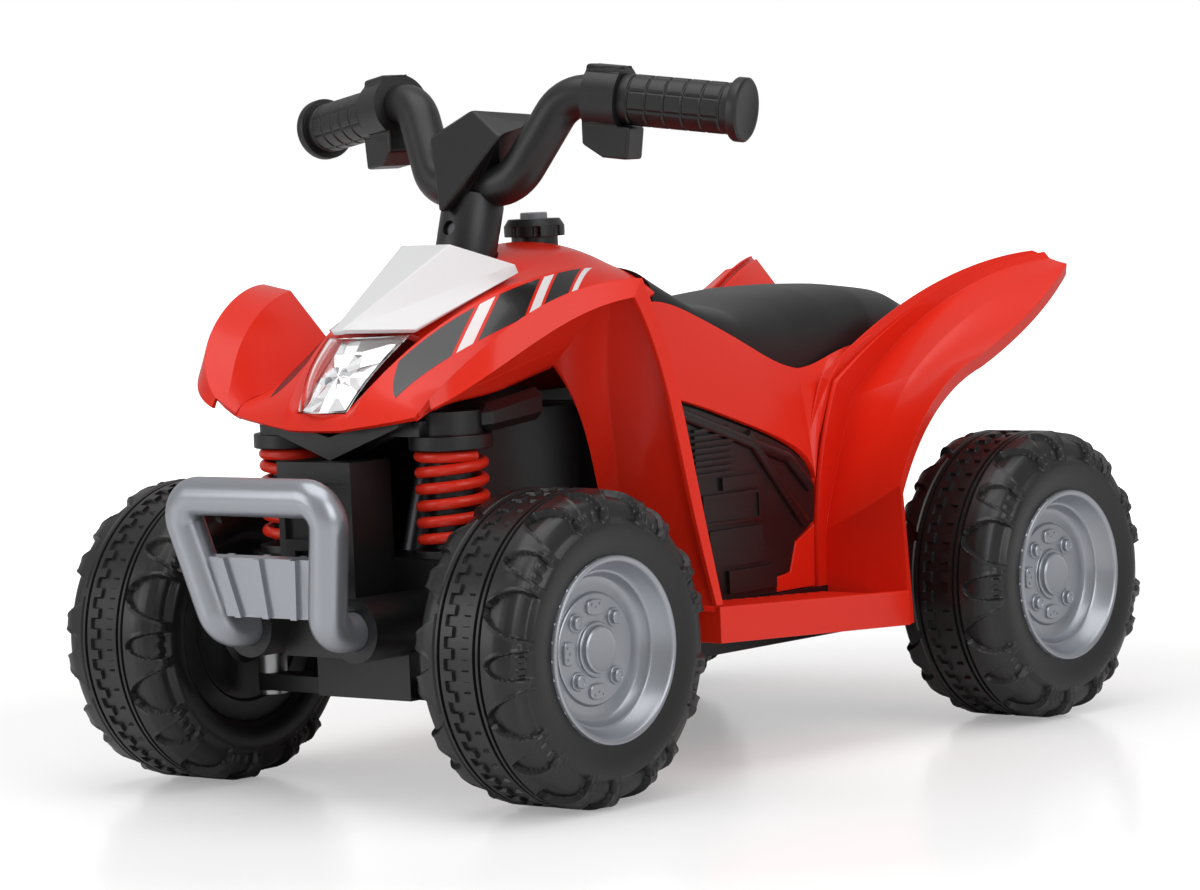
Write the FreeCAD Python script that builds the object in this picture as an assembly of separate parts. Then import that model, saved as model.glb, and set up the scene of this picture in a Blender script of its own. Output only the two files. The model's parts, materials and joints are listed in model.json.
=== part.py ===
"""A small ride-on quad bike for toddlers: moulded shell, steel steering, four wheels.

Millimetres. Front is -Y, the rider's left is +X and Z is up. The pieces are drawn from
a point on the ground midway between the axles, then moved along Y so that the origin
lies under the middle of the whole length.
"""
import FreeCAD
import Part
import math
import os

Vector = FreeCAD.Vector

# Wheels and axles
WHEELBASE = 432.0
FRONT_TRACK = 290.0
REAR_TRACK = 332.0
WHEEL_RADIUS = 93.0
TYRE_WIDTH = 82.0
TREAD_WALL = 11.0
DISC_DEPTH = 8.0
DISC_WALL = 4.0
HUB_RADIUS = 15.0
HUB_SETBACK = 2.0
HUB_LENGTH = 56.0
RIM_RADIUS = 55.0
RIM_LIP = 3.0
RIM_WALL = 2.5
CAP_RADIUS = 13.5
CAP_BOLT_RADIUS = 4.5
CAP_BOLT_CIRCLE = 23.0
CAP_BOLT_HEIGHT = 3.0
CAP_BOLT_COUNT = 4
LUG_COUNT = 9
LUG_DEPTH = 4.0
LUG_LONG = 30.0
LUG_LONG_WIDTH = 19.0
LUG_SHORT = 20.0
LUG_SHORT_WIDTH = 11.0
DISC_HOLE_RADIUS = 4.5
DISC_HOLE_CIRCLE = 45.0
DISC_HOLE_COUNT = 6
AXLE_RADIUS = 5.0
NUT_RADIUS = 9.0
NUT_LENGTH = 6.0
AXLE_STICKOUT = 8.0

# Fits
RUNNING_FIT = 0.05
SEAT_GAP = 0.3
PIN_GAP = 0.45
SLIDE_GAP = 0.4
CRANK_LIFT = 1.1
CRANK_PIN_GAP = 1.0
OVERRUN = 5.0

# Moulded shell
SHELL_HALF_WIDTH = 165.0
SHELL_RISE = 237.0
SHELL_WALL = 3.0
TRIM_WALL = 2.5
LENS_WALL = 2.0
MITRE_LIMIT = 0.6

# Steering
STEER_LIMIT = 18.0
COLUMN_RAKE = 17.0
COLUMN_RADIUS = 6.0
COLUMN_TUBE_WALL = 4.0
SLEEVE_RADIUS = 19.0
SLEEVE_CLEARANCE = 1.0
CRANK_ARM = 28.0
CRANK_WIDTH = 14.0
CRANK_THICKNESS = 6.0
CRANK_EYE_RADIUS = 7.0
PIN_RADIUS = 3.0
TIE_THICKNESS = 5.0
TIE_BORDER = 5.0
KINGPIN_RADIUS = 4.0
KINGPIN_STANDOFF = 12.0
BARREL_RADIUS = 9.0
BARREL_HEIGHT = 50.0
FORK_THICKNESS = 10.0
BAR_RADIUS = 13.0
BAR_BEND = 24.0
GRIP_RADIUS = 15.7
GRIP_LENGTH = 76.0
GRIP_END_RADIUS = 19.5
GRIP_END_LENGTH = 7.0
GRIP_RING_COUNT = 6
GRIP_RING_WIDTH = 2.0
GRIP_RING_DEPTH = 1.0
COLLAR_RADIUS = 20.0
COLLAR_LENGTH = 22.0
HOUSING_LENGTH = 31.0
HOUSING_WIDTH = 24.0
HOUSING_DROP = 36.0
BUTTON_RADIUS = 6.5
BUTTON_LENGTH = 9.0
BUTTON_PROUD = 3.5
BUTTON_TRAVEL = 2.5
SCREW_RADIUS = 4.3

# Frame
TUB_HALF_WIDTH = 92.0
TUB_FLOOR = 31.0
TUB_HEIGHT = 32.0
TUB_WALL = 4.0
TUB_FRONT = 118.0
TUB_REAR = 32.0
TUB_REAR_HEIGHT = 56.0
TUB_REAR_LENGTH = 56.0
BULKHEAD_INSET = 10.0
BULKHEAD_RISE = 135.0
SPINE_HALF_WIDTH = 38.0
SPINE_HEIGHT = 28.0
BEAM_HALF_DEPTH = 16.5
ARM_HALF_DEPTH = 22.0
ARM_HEIGHT = 26.0
ARM_INSET = 8.0
SHELF_HALF_WIDTH = 20.0
SHELF_DEPTH = 38.0
SHELF_HEIGHT = 12.0
SHELF_RISE = 23.0
TOWER_HALF_WIDTH = 30.0
TOWER_DEPTH = 35.0
TOWER_RISE = 110.0
TOWER_DROP = 6.0
PANEL_RECESS = 3.0
SOCKET_RADIUS = 19.0
SOCKET_LENGTH = 52.0
BUMPER_RADIUS = 11.5
BUMPER_BEND = 15.0
BUMPER_PLATE = 6.0
BUMPER_RIB = 2.5
BUMPER_RIB_COUNT = 3

# Shock absorbers, fixed and only for looks
SHOCK_INSET = 28.0
SPRING_RADIUS = 19.0
SPRING_WIRE = 3.3
SPRING_TURNS = 6
SPRING_PITCH = 8.6
SHOCK_PLATE_RADIUS = 24.0
SHOCK_PLATE = 5.0
SHOCK_CUP = 9.0
SHOCK_CUP_RADIUS = 25.0
SHOCK_CORE_RADIUS = 14.0
SHOCK_BRIDGE = 9.0
SHOCK_CAP_RADIUS = 21.0
SHOCK_CAP = 14.0
SHOCK_HOOD_HALF_WIDTH = 27.0
SHOCK_HOOD_START = 4.0
SHOCK_HOOD_LENGTH = 54.0
SHOCK_HOOD_HEIGHT = 17.0
SHOCK_HOOD_FALL = 5.0
SHOCK_HOOD_CLIMB = 8.0
SHOCK_HOOD_CHAMFER = 5.0

# Footboards and engine covers
BOARD_FRONT_CLEARANCE = 29.0
BOARD_REAR_CLEARANCE = 26.0
BOARD_INSET = 2.4
BOARD_TOP = 11.0
BOARD_FALL = 10.0
BOARD_DEPTH = 22.0
BOARD_LIP = 4.0
BOARD_LIP_RISE = 3.0
BOARD_PLATE = 5.0
TREAD_COUNT = 14
TREAD_WIDTH = 3.0
TREAD_HEIGHT = 1.0
TREAD_LENGTH = 52.0
COVER_BACK = 86.0
COVER_FACE = 90.0
COVER_RELIEF = 2.5
COVER_FLANGE = 6.0
COVER_TUBE_RADIUS = 4.0
COVER_TUBE_BEND = 12.0
PLATE_BORDER = 2.0
PLATE_SINK = 1.2
FIN_COUNT = 8
FIN_PITCH = 4.0
FIN_WIDTH = 2.0
FIN_LENGTH = 38.0

# Drive
BATTERY_WIDTH = 70.0
BATTERY_DEPTH = 47.0
BATTERY_HEIGHT = 100.0
BATTERY_Y = 20.0
GEARBOX_GAP = 2.0
GEARBOX_WIDTH = 28.0
GEARBOX_RADIUS = 26.6
GEARBOX_LENGTH = 56.0
MOTOR_RADIUS = 17.0
MOTOR_LENGTH = 56.0
SLEEVE_WALL = 6.0

# Filler cap
FILLER_Y = 59.0
FILLER_RADIUS = 19.0
FILLER_HEIGHT = 11.0
FILLER_NECK_RADIUS = 14.6
FILLER_NECK = 14.0
FILLER_NOTCH_COUNT = 8
FILLER_NOTCH_RADIUS = 2.5
START_RADIUS = 8.5
START_PROUD = 4.0
START_LENGTH = 11.0

# Worked out from the sizes above
AXLE_Z = WHEEL_RADIUS
HALF_BASE = WHEELBASE / 2
FRONT_Y = -HALF_BASE
REAR_Y = HALF_BASE
FRONT_WHEEL_X = FRONT_TRACK / 2
REAR_WHEEL_X = REAR_TRACK / 2
KINGPIN_X = FRONT_WHEEL_X - TYRE_WIDTH / 2 - KINGPIN_STANDOFF
SHOCK_X = KINGPIN_X - SHOCK_INSET
BOARD_INNER = TUB_HALF_WIDTH + BOARD_INSET
BOARD_FRONT = FRONT_Y + WHEEL_RADIUS + BOARD_FRONT_CLEARANCE
BOARD_REAR = REAR_Y - WHEEL_RADIUS - BOARD_REAR_CLEARANCE
GEARBOX_OUTER = TUB_HALF_WIDTH - TUB_WALL - GEARBOX_GAP
GEARBOX_INNER = GEARBOX_OUTER - GEARBOX_WIDTH
HUB_END = HUB_SETBACK + HUB_LENGTH
RAKE = math.radians(COLUMN_RAKE)
COLUMN_AXIS = Vector(0, math.sin(RAKE), math.cos(RAKE))
KNUCKLE_ARM = CRANK_ARM * math.cos(RAKE)
X_AXIS = Vector(1, 0, 0)
Y_AXIS = Vector(0, 1, 0)
Z_AXIS = Vector(0, 0, 1)

# Points of the shell as shares of its half width, of half the wheelbase, and of its rise
# above the axles. Each table runs from front to back, or from the footboard to the tip.
HOOD_CREST_SHARES = [
    (0, -1.231, 0.540), (0, -1.213, 0.574), (0, -1.157, 0.603), (0, -1.046, 0.738), (0, -0.764, 0.949),
    (0, -0.579, 0.985), (0, -0.417, 1.012), (0, -0.278, 1.015), (0, -0.130, 0.972)]
HOOD_BED_SHARES = [
    (0.133, -1.227, 0.544), (0.133, -1.208, 0.578), (0.133, -1.176, 0.603), (0.206, -0.981, 0.738),
    (0.230, -0.764, 0.852), (0.242, -0.579, 0.899), (0.242, -0.417, 0.945), (0.218, -0.278, 0.958),
    (0.194, -0.130, 0.911)]
HOOD_SHOULDER_SHARES = [
    (0.182, -1.222, 0.549), (0.170, -1.204, 0.582), (0.164, -1.190, 0.620), (0.248, -0.981, 0.768),
    (0.291, -0.764, 0.848), (0.327, -0.593, 0.890), (0.327, -0.417, 0.911), (0.303, -0.278, 0.911),
    (0.279, -0.130, 0.890)]
HOOD_FLANK_SHARES = [
    (0.327, -1.204, 0.561), (0.327, -1.185, 0.591), (0.327, -1.148, 0.633), (0.364, -0.981, 0.709),
    (0.400, -0.764, 0.776), (0.430, -0.593, 0.823), (0.424, -0.417, 0.861), (0.400, -0.278, 0.869),
    (0.364, -0.130, 0.865)]
HOOD_EDGE_SHARES = [
    (0.442, -1.185, 0.576), (0.455, -1.162, 0.599), (0.473, -1.111, 0.616), (0.485, -0.981, 0.620),
    (0.503, -0.764, 0.658), (0.509, -0.593, 0.700), (0.491, -0.417, 0.751), (0.461, -0.278, 0.793),
    (0.424, -0.130, 0.831)]
FENDER_ROOT_SHARES = [
    (0.452, -1.179, 0.582), (0.486, -1.109, 0.626), (0.493, -0.923, 0.613), (0.511, -0.761, 0.665),
    (0.512, -0.674, 0.680), (0.582, -0.620, 0.578), (0.579, -0.565, 0.367), (0.579, -0.500, 0.198),
    (0.579, -0.463, 0.052)]
FENDER_CREASE_SHARES = [
    (0.490, -1.190, 0.602), (0.530, -1.130, 0.660), (0.620, -1.050, 0.745), (0.730, -0.830, 0.850),
    (0.800, -0.665, 0.872), (0.660, -0.585, 0.700), (0.655, -0.545, 0.450), (0.665, -0.505, 0.220),
    (0.680, -0.475, 0.052)]
FENDER_EDGE_SHARES = [
    (0.530, -1.197, 0.622), (0.652, -1.177, 0.697), (0.777, -0.994, 0.845), (0.875, -0.773, 0.894),
    (0.945, -0.662, 0.890), (0.945, -0.553, 0.713), (0.964, -0.498, 0.451), (0.985, -0.458, 0.224),
    (1.000, -0.421, 0.052)]
FENDER_LIP_SHARES = [
    (0.545, -1.204, 0.597), (0.697, -1.190, 0.638), (0.792, -0.985, 0.753), (0.894, -0.814, 0.834),
    (0.952, -0.704, 0.844), (0.945, -0.600, 0.713), (0.964, -0.545, 0.451), (0.985, -0.500, 0.224),
    (1.000, -0.450, 0.052)]
SIDE_TOP_SHARES = [
    (0.514, -0.642, 0.682), (0.508, -0.569, 0.713), (0.515, -0.417, 0.729), (0.432, -0.185, 0.841),
    (0.434, 0.051, 0.760), (0.440, 0.271, 0.674), (0.447, 0.419, 0.605), (0.451, 0.499, 0.595),
    (0.452, 0.560, 0.597), (0.455, 0.630, 0.617), (0.460, 0.740, 0.645), (0.468, 0.858, 0.655)]
SIDE_MID_SHARES = [
    (0.553, -0.637, 0.620), (0.552, -0.567, 0.640), (0.555, -0.416, 0.667), (0.510, -0.177, 0.703),
    (0.508, 0.050, 0.631), (0.511, 0.269, 0.553), (0.515, 0.406, 0.476), (0.507, 0.475, 0.464),
    (0.505, 0.533, 0.521), (0.487, 0.599, 0.593), (0.475, 0.704, 0.640), (0.482, 0.852, 0.674)]
SIDE_LOW_SHARES = [
    (0.566, -0.612, 0.566), (0.570, -0.542, 0.584), (0.570, -0.384, 0.587), (0.556, -0.147, 0.554),
    (0.558, 0.079, 0.487), (0.557, 0.307, 0.421), (0.558, 0.448, 0.359), (0.548, 0.469, 0.299),
    (0.545, 0.498, 0.441), (0.520, 0.571, 0.567), (0.507, 0.683, 0.632), (0.507, 0.847, 0.693)]
REAR_STEP_SHARES = [
    (0.552, 0.455, 0.015), (0.552, 0.470, 0.165), (0.552, 0.486, 0.375), (0.552, 0.588, 0.553),
    (0.506, 0.876, 0.689), (0.599, 1.167, 0.847), (0.762, 1.467, 0.866)]
REAR_ROOT_SHARES = [
    (0.556, 0.485, 0.015), (0.533, 0.525, 0.152), (0.493, 0.625, 0.319), (0.509, 0.704, 0.502),
    (0.520, 0.920, 0.660), (0.612, 1.168, 0.826), (0.782, 1.470, 0.848)]
REAR_CREASE_SHARES = [
    (0.788, 0.454, 0.015), (0.776, 0.477, 0.219), (0.739, 0.593, 0.409), (0.727, 0.778, 0.557),
    (0.739, 0.926, 0.662), (0.758, 1.134, 0.755), (0.824, 1.463, 0.840)]
REAR_EDGE_SHARES = [
    (1.000, 0.449, 0.015), (0.994, 0.428, 0.287), (0.967, 0.594, 0.537), (0.948, 0.894, 0.603),
    (0.920, 1.089, 0.655), (0.930, 1.277, 0.736), (0.885, 1.449, 0.832)]
REAR_LIP_SHARES = [
    (0.990, 0.477, 0.015), (0.982, 0.455, 0.262), (0.953, 0.622, 0.506), (0.934, 0.919, 0.570),
    (0.906, 1.113, 0.621), (0.917, 1.292, 0.703), (0.873, 1.456, 0.800)]
TAIL_RIDGE_SHARES = [
    (0.510, 0.866, 0.683), (0.522, 0.962, 0.727), (0.570, 1.154, 0.809), (0.662, 1.352, 0.855),
    (0.715, 1.451, 0.863), (0.703, 1.468, 0.815)]
TAIL_WALL_SHARES = [
    (0.440, 0.866, 0.597), (0.442, 0.995, 0.614), (0.461, 1.181, 0.635), (0.485, 1.352, 0.660),
    (0.500, 1.452, 0.694), (0.490, 1.472, 0.644)]
TAIL_DECK_SHARES = [
    (0, 0.866, 0.589), (0, 0.995, 0.606), (0, 1.181, 0.627), (0, 1.352, 0.655), (0, 1.455, 0.678),
    (0, 1.475, 0.628)]
NOSE_FOOT_SHARES = [
    (0.218, -0.977, 0.782), (0.294, -0.606, 0.906)]
NOSE_FOLD_SHARES = [(0.036, -1.113, 0.789), (0.285, -0.611, 0.928)]
NOSE_CREST_SHARES = [(0.018, -1.123, 0.785), (0.121, -0.741, 0.987)]
LENS_SIDE_SHARES = [(0.121, -1.190, 0.589), (0.152, -1.144, 0.662), (0.200, -0.991, 0.768)]
LENS_CHEEK_SHARES = [(0.061, -1.213, 0.586), (0.085, -1.240, 0.671), (0.097, -1.083, 0.768)]
LENS_KEEL_SHARES = [(0, -1.218, 0.584), (0, -1.280, 0.671), (0, -1.130, 0.768)]
REFLECTOR_SIDE_SHARES = [(0.103, -1.180, 0.591), (0.112, -1.120, 0.662), (0.145, -0.985, 0.755)]
REFLECTOR_CHEEK_SHARES = [(0.055, -1.198, 0.589), (0.061, -1.160, 0.671), (0.073, -1.055, 0.755)]
REFLECTOR_KEEL_SHARES = [(0, -1.201, 0.587), (0, -1.165, 0.671), (0, -1.090, 0.755)]

# Seat stations: place along the base, half width, bottom and crown
SEAT_SHARES = [
    (-0.124, 0.405, 0.800, 0.905), (0.040, 0.417, 0.745, 0.815), (0.240, 0.417, 0.675, 0.776),
    (0.500, 0.427, 0.574, 0.800), (0.700, 0.433, 0.606, 0.812), (0.930, 0.430, 0.634, 0.810),
    (1.140, 0.382, 0.640, 0.785), (1.310, 0.270, 0.660, 0.715)]
SEAT_SHOULDER_SHARE = 0.80
SEAT_SHOULDER_RISE_SHARE = 0.70

# Handlebar bends, on the rider's left, and the pad on it
BAR_SHARES = [(1.046, -0.292, 1.297), (0.382, -0.440, 1.358), (0.190, -0.519, 1.130)]
PAD_TIP_SHARES = (0, -0.680, 1.065)
PAD_CHEEK_SHARES = (0.175, -0.560, 1.257)
PAD_BROW_SHARES = (0.214, -0.486, 1.275)
PAD_TOP_SHARES = (0, -0.519, 1.328)
PAD_BACK_TOP_SHARES = (0.180, -0.400, 1.310)
PAD_BACK_LOW_SHARES = (0.060, -0.470, 1.090)
COLUMN_SHARES = (0, -0.559, 1.004)
COLUMN_LOW_SHARE = 0.048
COLUMN_HIGH_SHARE = 1.063
SLEEVE_LOW_SHARE = 0.860
SLEEVE_HIGH_SHARE = 1.105
GUIDE_HIGH_SHARE = 0.840

# Bumper bends, on the rider's left, and the plate between its legs
BUMPER_SHARES = [(0.261, -1.215, 0.055), (0.261, -1.417, 0.055), (0.379, -1.481, 0.397)]
BUMPER_PLATE_LOW_SHARE = 0.12
BUMPER_PLATE_HIGH_SHARE = 0.56
CHIN_SHARES = [(0, 0.464), (0.345, 0.549), (0.345, 0.566), (0.180, 0.553), (0, 0.522)]
CHIN_FRONT_SHARE = 1.171
COVER_SHARES = [
    (-0.430, 0.006), (-0.430, 0.573), (-0.347, 0.567), (-0.256, 0.557), (-0.167, 0.541), (-0.078, 0.521),
    (0.097, 0.471), (0.184, 0.445), (0.271, 0.417), (0.352, 0.386), (0.424, 0.342), (0.462, 0.280),
    (0.462, 0.262), (0.457, 0.219), (0.452, 0.183), (0.359, 0.139), (0.327, 0.059), (0.262, 0.053),
    (0.260, 0.006)]
COVER_TOP_COUNT = 11
COVER_TUBE_SHARES = [(-0.400, 0.548), (-0.170, 0.518), (0.335, 0.364), (0.436, 0.278)]
COVER_BRACE_SHARES = [(0.145, 0.440), (0.405, 0.184)]
COVER_BLOCK_SHARES = [
    ((-0.330, 0.024), (-0.090, 0.125)), ((-0.300, 0.150), (-0.120, 0.330)), ((0.016, 0.300), (0.186, 0.333)),
    ((-0.052, 0.098), (0.196, 0.196)), ((0.030, 0.024), (0.252, 0.085))]
COVER_PLATE_SHARES = ((-0.076, 0.211), (0.190, 0.291))
FIN_SHARES = (-0.104, 0.342)
GUSSET_SHARES = [
    (0.266, 0.006), (0.266, 0.046), (0.332, 0.054), (0.362, 0.133), (0.459, 0.174), (0.449, 0.006)]

# Half a tyre's section from the tread to the rim: shares of its half width and of its radius
TYRE_SHARES = [(0.66, 1), (0.88, 0.93), (1, 0.84), (1, 0.78), (0.93, 0.69)]
LUG_TIP_SHARE = 0.5
# Rings of the hubcap as shares of the rim's mouth
CAP_RING_SHARES = (0.60, 0.64, 0.80, 0.87, 0.93)
# Windows of the tower's front: shares of its half width and of its rise
TOWER_PANEL_SHARES = ((0.16, 0.58), (0.84, 0.89))
TOWER_WINDOW_SHARES = ((0, 0.30), (0.60, 0.52))
BUMPER_RIB_SHARES = (0.50, 0.65)
FILLER_SHARE = 0.990
FILLER_SKIRT_SHARE = 0.60
FILLER_CROWN_SHARE = 0.85


def shell_point(shares):
    """A point of the shell from its shares."""
    across, along, rise = shares
    return Vector(across * SHELL_HALF_WIDTH, along * HALF_BASE, AXLE_Z + rise * SHELL_RISE)


def shell_row(table):
    return [shell_point(shares) for shares in table]


def flipped(points):
    """The same points on the rider's right."""
    return [Vector(-point.x, point.y, point.z) for point in points]


def mirrored(shape):
    return shape.mirror(Vector(), X_AXIS)


def box(low, high):
    size = Vector(high) - Vector(low)
    return Part.makeBox(size.x, size.y, size.z, Vector(low))


def centred_box(half_width, front, back, low, high):
    return box((-half_width, front, low), (half_width, back, high))


def rod(start, direction, radius, length):
    return Part.makeCylinder(radius, length, start, direction)


def tube(start, direction, radius, bore, length):
    return rod(start, direction, radius, length).cut(rod(start, direction, bore, length))


def prism(points, push):
    """A flat outline pushed along a straight way."""
    return Part.Face(Part.makePolygon(points + [points[0]])).extrude(push)


def revolved(profile):
    """A closed outline of places along X and radii, turned about X."""
    outline = Part.makePolygon([Vector(x, 0, radius) for x, radius in profile + profile[:1]])
    return Part.Face(outline).revolve(Vector(), X_AXIS, 360)


def hexagon(start, direction, radius, length):
    corner = rod(start, direction, radius, length)
    flats = Part.makePolygon([
        start + turned(direction, radius, 60 * step) for step in range(7)])
    return Part.Face(flats).extrude(Vector(direction) * length).common(corner)


def turned(direction, radius, degrees):
    """A point of a circle about X."""
    angle = math.radians(degrees)
    side = Vector(0, math.cos(angle), math.sin(angle))
    return side * radius if abs(direction.x) > 0 else Vector(side.y, side.z, 0) * radius


def clamped(count, degree):
    """Knots and their counts for an even spline that reaches its end poles."""
    spans = count - degree
    return list(range(spans + 1)), [degree + 1] + [1] * (spans - 1) + [degree + 1]


def patch(rows):
    """A smooth face over a grid of poles."""
    across = min(3, len(rows) - 1)
    along = min(3, len(rows[0]) - 1)
    knots_across, counts_across = clamped(len(rows), across)
    knots_along, counts_along = clamped(len(rows[0]), along)
    surface = Part.BSplineSurface()
    surface.buildFromPolesMultsKnots(
        rows, counts_across, counts_along, knots_across, knots_along, False, False, across, along)
    return surface.toShape()


def steps(index, count):
    """The neighbouring places just before and just after one of a row."""
    return [(place, place + 1) for place in (index - 1, index) if 0 <= place < count - 1]


def inner_rows(rows, wall):
    """The pole grid moved a wall's thickness to the hollow side, mitred where strips meet at an angle."""
    moved = []
    for index, row in enumerate(rows):
        line = []
        for step, pole in enumerate(row):
            normals = []
            for low, high in steps(index, len(rows)):
                across = rows[high][step] - rows[low][step]
                normals += [(row[far] - row[near]).cross(across).normalize() for near, far in steps(step, len(row))]
            middle = sum(normals, Vector()).normalize()
            lean = min(middle.dot(normal) for normal in normals)
            line.append(pole - middle * (wall / max(lean, MITRE_LIMIT)))
        moved.append(line)
    return moved


def spans(breaks, count):
    """First and last pole of each run between the breaks."""
    ends = [0] + breaks + [count - 1]
    return list(zip(ends, ends[1:]))


def panel(rows, creases, folds, wall):
    """A moulded sheet: smooth patches that meet at crease rows and fold columns, closed to a solid."""
    inside = inner_rows(rows, wall)
    strips = spans(creases, len(rows))
    runs = spans(folds, len(rows[0]))
    faces = []
    for first, last in strips:
        for sheet in (rows, inside):
            faces += [patch([row[near:far + 1] for row in sheet[first:last + 1]]) for near, far in runs]
        for end in (0, -1):
            faces.append(patch([[row[end] for row in sheet[first:last + 1]] for sheet in (rows, inside)]))
    for near, far in runs:
        faces += [patch([rows[end][near:far + 1], inside[end][near:far + 1]]) for end in (0, -1)]
    solid = Part.makeSolid(Part.makeShell(faces))
    if solid.Volume < 0:
        solid.reverse()
    return solid


def tangent_arc(first, corner, last):
    """The arc between two points at the same distance from the corner of their tangents."""
    back = (first - corner).normalize()
    ahead = (last - corner).normalize()
    half = back.getAngle(ahead) / 2
    radius = (first - corner).Length * math.tan(half)
    middle = corner + (back + ahead).normalize() * (radius / math.sin(half) - radius)
    return Part.Arc(first, middle, last).toShape()


def biarc(start, way, end, end_way):
    """Two arcs that leave one point and reach another along given ways."""
    span = end - start
    square = 2 * (way.dot(end_way) - 1)
    linear = -2 * span.dot(way + end_way)
    run = (-linear - math.sqrt(linear ** 2 - 4 * square * span.dot(span))) / (2 * square)
    first = start + way * run
    last = end - end_way * run
    middle = (first + last) / 2
    return [tangent_arc(start, first, middle), tangent_arc(middle, last, end)]


def bent_path(points, bend):
    """Straight runs joined by tangent arcs."""
    edges = []
    start = points[0]
    for before, corner, after in zip(points, points[1:], points[2:]):
        back = (before - corner).normalize()
        ahead = (after - corner).normalize()
        half = back.getAngle(ahead) / 2
        first = corner + back * (bend / math.tan(half))
        last = corner + ahead * (bend / math.tan(half))
        edges += [Part.makeLine(start, first), tangent_arc(first, corner, last)]
        start = last
    edges.append(Part.makeLine(start, points[-1]))
    return Part.Wire(edges)


def bent_rod(points, bend, radius):
    path = bent_path(points, bend)
    section = Part.Wire(Part.makeCircle(radius, points[0], points[1] - points[0]))
    return path.makePipeShell([section], True, True)


def column_point(rise_share):
    """The point of the steering axis at a share of the shell's rise."""
    base = shell_point(COLUMN_SHARES)
    drop = AXLE_Z + rise_share * SHELL_RISE - base.z
    return base + COLUMN_AXIS * (drop / COLUMN_AXIS.z)


def tyre():
    """A blow-moulded wheel about X, centred, with its face at +X: tread, sidewalls, disc and hub."""
    half = TYRE_WIDTH / 2
    bore = AXLE_RADIUS + RUNNING_FIT
    mouth = RIM_RADIUS - RIM_LIP
    hollow = WHEEL_RADIUS - TREAD_WALL
    disc = DISC_DEPTH - half
    hub_start, hub_end = HUB_SETBACK - half, HUB_END - half
    outside = [(across * half, reach * WHEEL_RADIUS) for across, reach in TYRE_SHARES]
    inside = [(-x, radius) for x, radius in outside[::-1]]
    shoulder, bead = outside[0][0], outside[-1][0]
    wheel = revolved(
        [(hub_start, bore), (hub_start, HUB_RADIUS), (disc, HUB_RADIUS), (disc, RIM_RADIUS)] + inside + outside
        + [(bead, mouth), (shoulder, mouth), (shoulder, hollow), (disc + DISC_WALL, hollow),
           (disc + DISC_WALL, HUB_RADIUS), (hub_end, HUB_RADIUS), (hub_end, bore)])
    cuts = []
    pitch = 360 / LUG_COUNT
    for index in range(LUG_COUNT):
        for way in (1, -1):
            cuts.append(scallop(LUG_LONG, LUG_LONG_WIDTH, way, index * pitch))
            cuts.append(scallop(LUG_SHORT, LUG_SHORT_WIDTH, way, (index + 1 / 2) * pitch))
    for index in range(DISC_HOLE_COUNT):
        centre = turned(X_AXIS, DISC_HOLE_CIRCLE, index * 360 / DISC_HOLE_COUNT)
        start = centre + X_AXIS * (disc - OVERRUN)
        cuts.append(rod(start, X_AXIS, DISC_HOLE_RADIUS, DISC_WALL + 2 * OVERRUN))
    return wheel.cut(cuts)


def scallop(length, width, way, degrees):
    """A blunt-ended recess in one shoulder of the tread, open to the sidewall."""
    half = width / 2
    mouth = way * (TYRE_WIDTH / 2 + OVERRUN)
    neck = way * (TYRE_WIDTH / 2 - length + half)
    tip = way * (TYRE_WIDTH / 2 - length)
    blunt = half * LUG_TIP_SHARE
    corners = [(mouth, -half), (neck, -half), (tip, -blunt), (tip, blunt), (neck, half), (mouth, half)]
    floor = WHEEL_RADIUS - LUG_DEPTH
    recess = prism([Vector(x, y, floor) for x, y in corners], Z_AXIS * (LUG_DEPTH + OVERRUN))
    recess.rotate(Vector(), X_AXIS, degrees)
    return recess


def hubcap():
    """The dished silver cover of a wheel, about X, with a raised middle and four bolt heads."""
    outer = TYRE_WIDTH / 2
    mouth = RIM_RADIUS - RIM_LIP
    floor = HUB_END - outer + NUT_LENGTH + RIM_WALL
    bead = TYRE_SHARES[-1][0] * outer + SEAT_GAP
    shoulder = TYRE_SHARES[0][0] * outer
    boss = floor + 2 * RIM_WALL
    step = RIM_WALL
    rings = [share * mouth for share in CAP_RING_SHARES]
    cap = revolved([
        (boss, 0), (boss, CAP_RADIUS - step), (boss - step, CAP_RADIUS), (floor, CAP_RADIUS),
        (floor, rings[0]), (floor - step, rings[1]), (floor - step, rings[2]), (floor + step, rings[3]),
        (outer - RIM_WALL, mouth - step), (outer, mouth), (outer, mouth + RIM_LIP / 2),
        (outer - RIM_LIP / 2, RIM_RADIUS), (bead, RIM_RADIUS), (bead, mouth - SEAT_GAP), (shoulder, rings[4]),
        (floor - step - RIM_WALL, rings[3]), (floor - step - RIM_WALL, rings[0]),
        (floor - RIM_WALL, rings[0] - RIM_WALL), (floor - RIM_WALL, CAP_RADIUS - RIM_WALL / 2),
        (boss - RIM_WALL, CAP_RADIUS - RIM_WALL), (boss - RIM_WALL, 0)])
    heads = []
    for index in range(CAP_BOLT_COUNT):
        centre = turned(X_AXIS, CAP_BOLT_CIRCLE, (index + 1 / 2) * 360 / CAP_BOLT_COUNT)
        heads.append(rod(centre + X_AXIS * (floor - step), X_AXIS, CAP_BOLT_RADIUS, CAP_BOLT_HEIGHT + step))
    return cap.fuse(heads).removeSplitter()


def axle_nut():
    """A nut on the axle's end, just clear of the hub."""
    start = Vector(-TYRE_WIDTH / 2 + HUB_END + SEAT_GAP, 0, 0)
    return hexagon(start, X_AXIS, NUT_RADIUS, NUT_LENGTH).cut(
        rod(start - X_AXIS * OVERRUN, X_AXIS, AXLE_RADIUS, NUT_LENGTH + 2 * OVERRUN))


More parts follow.
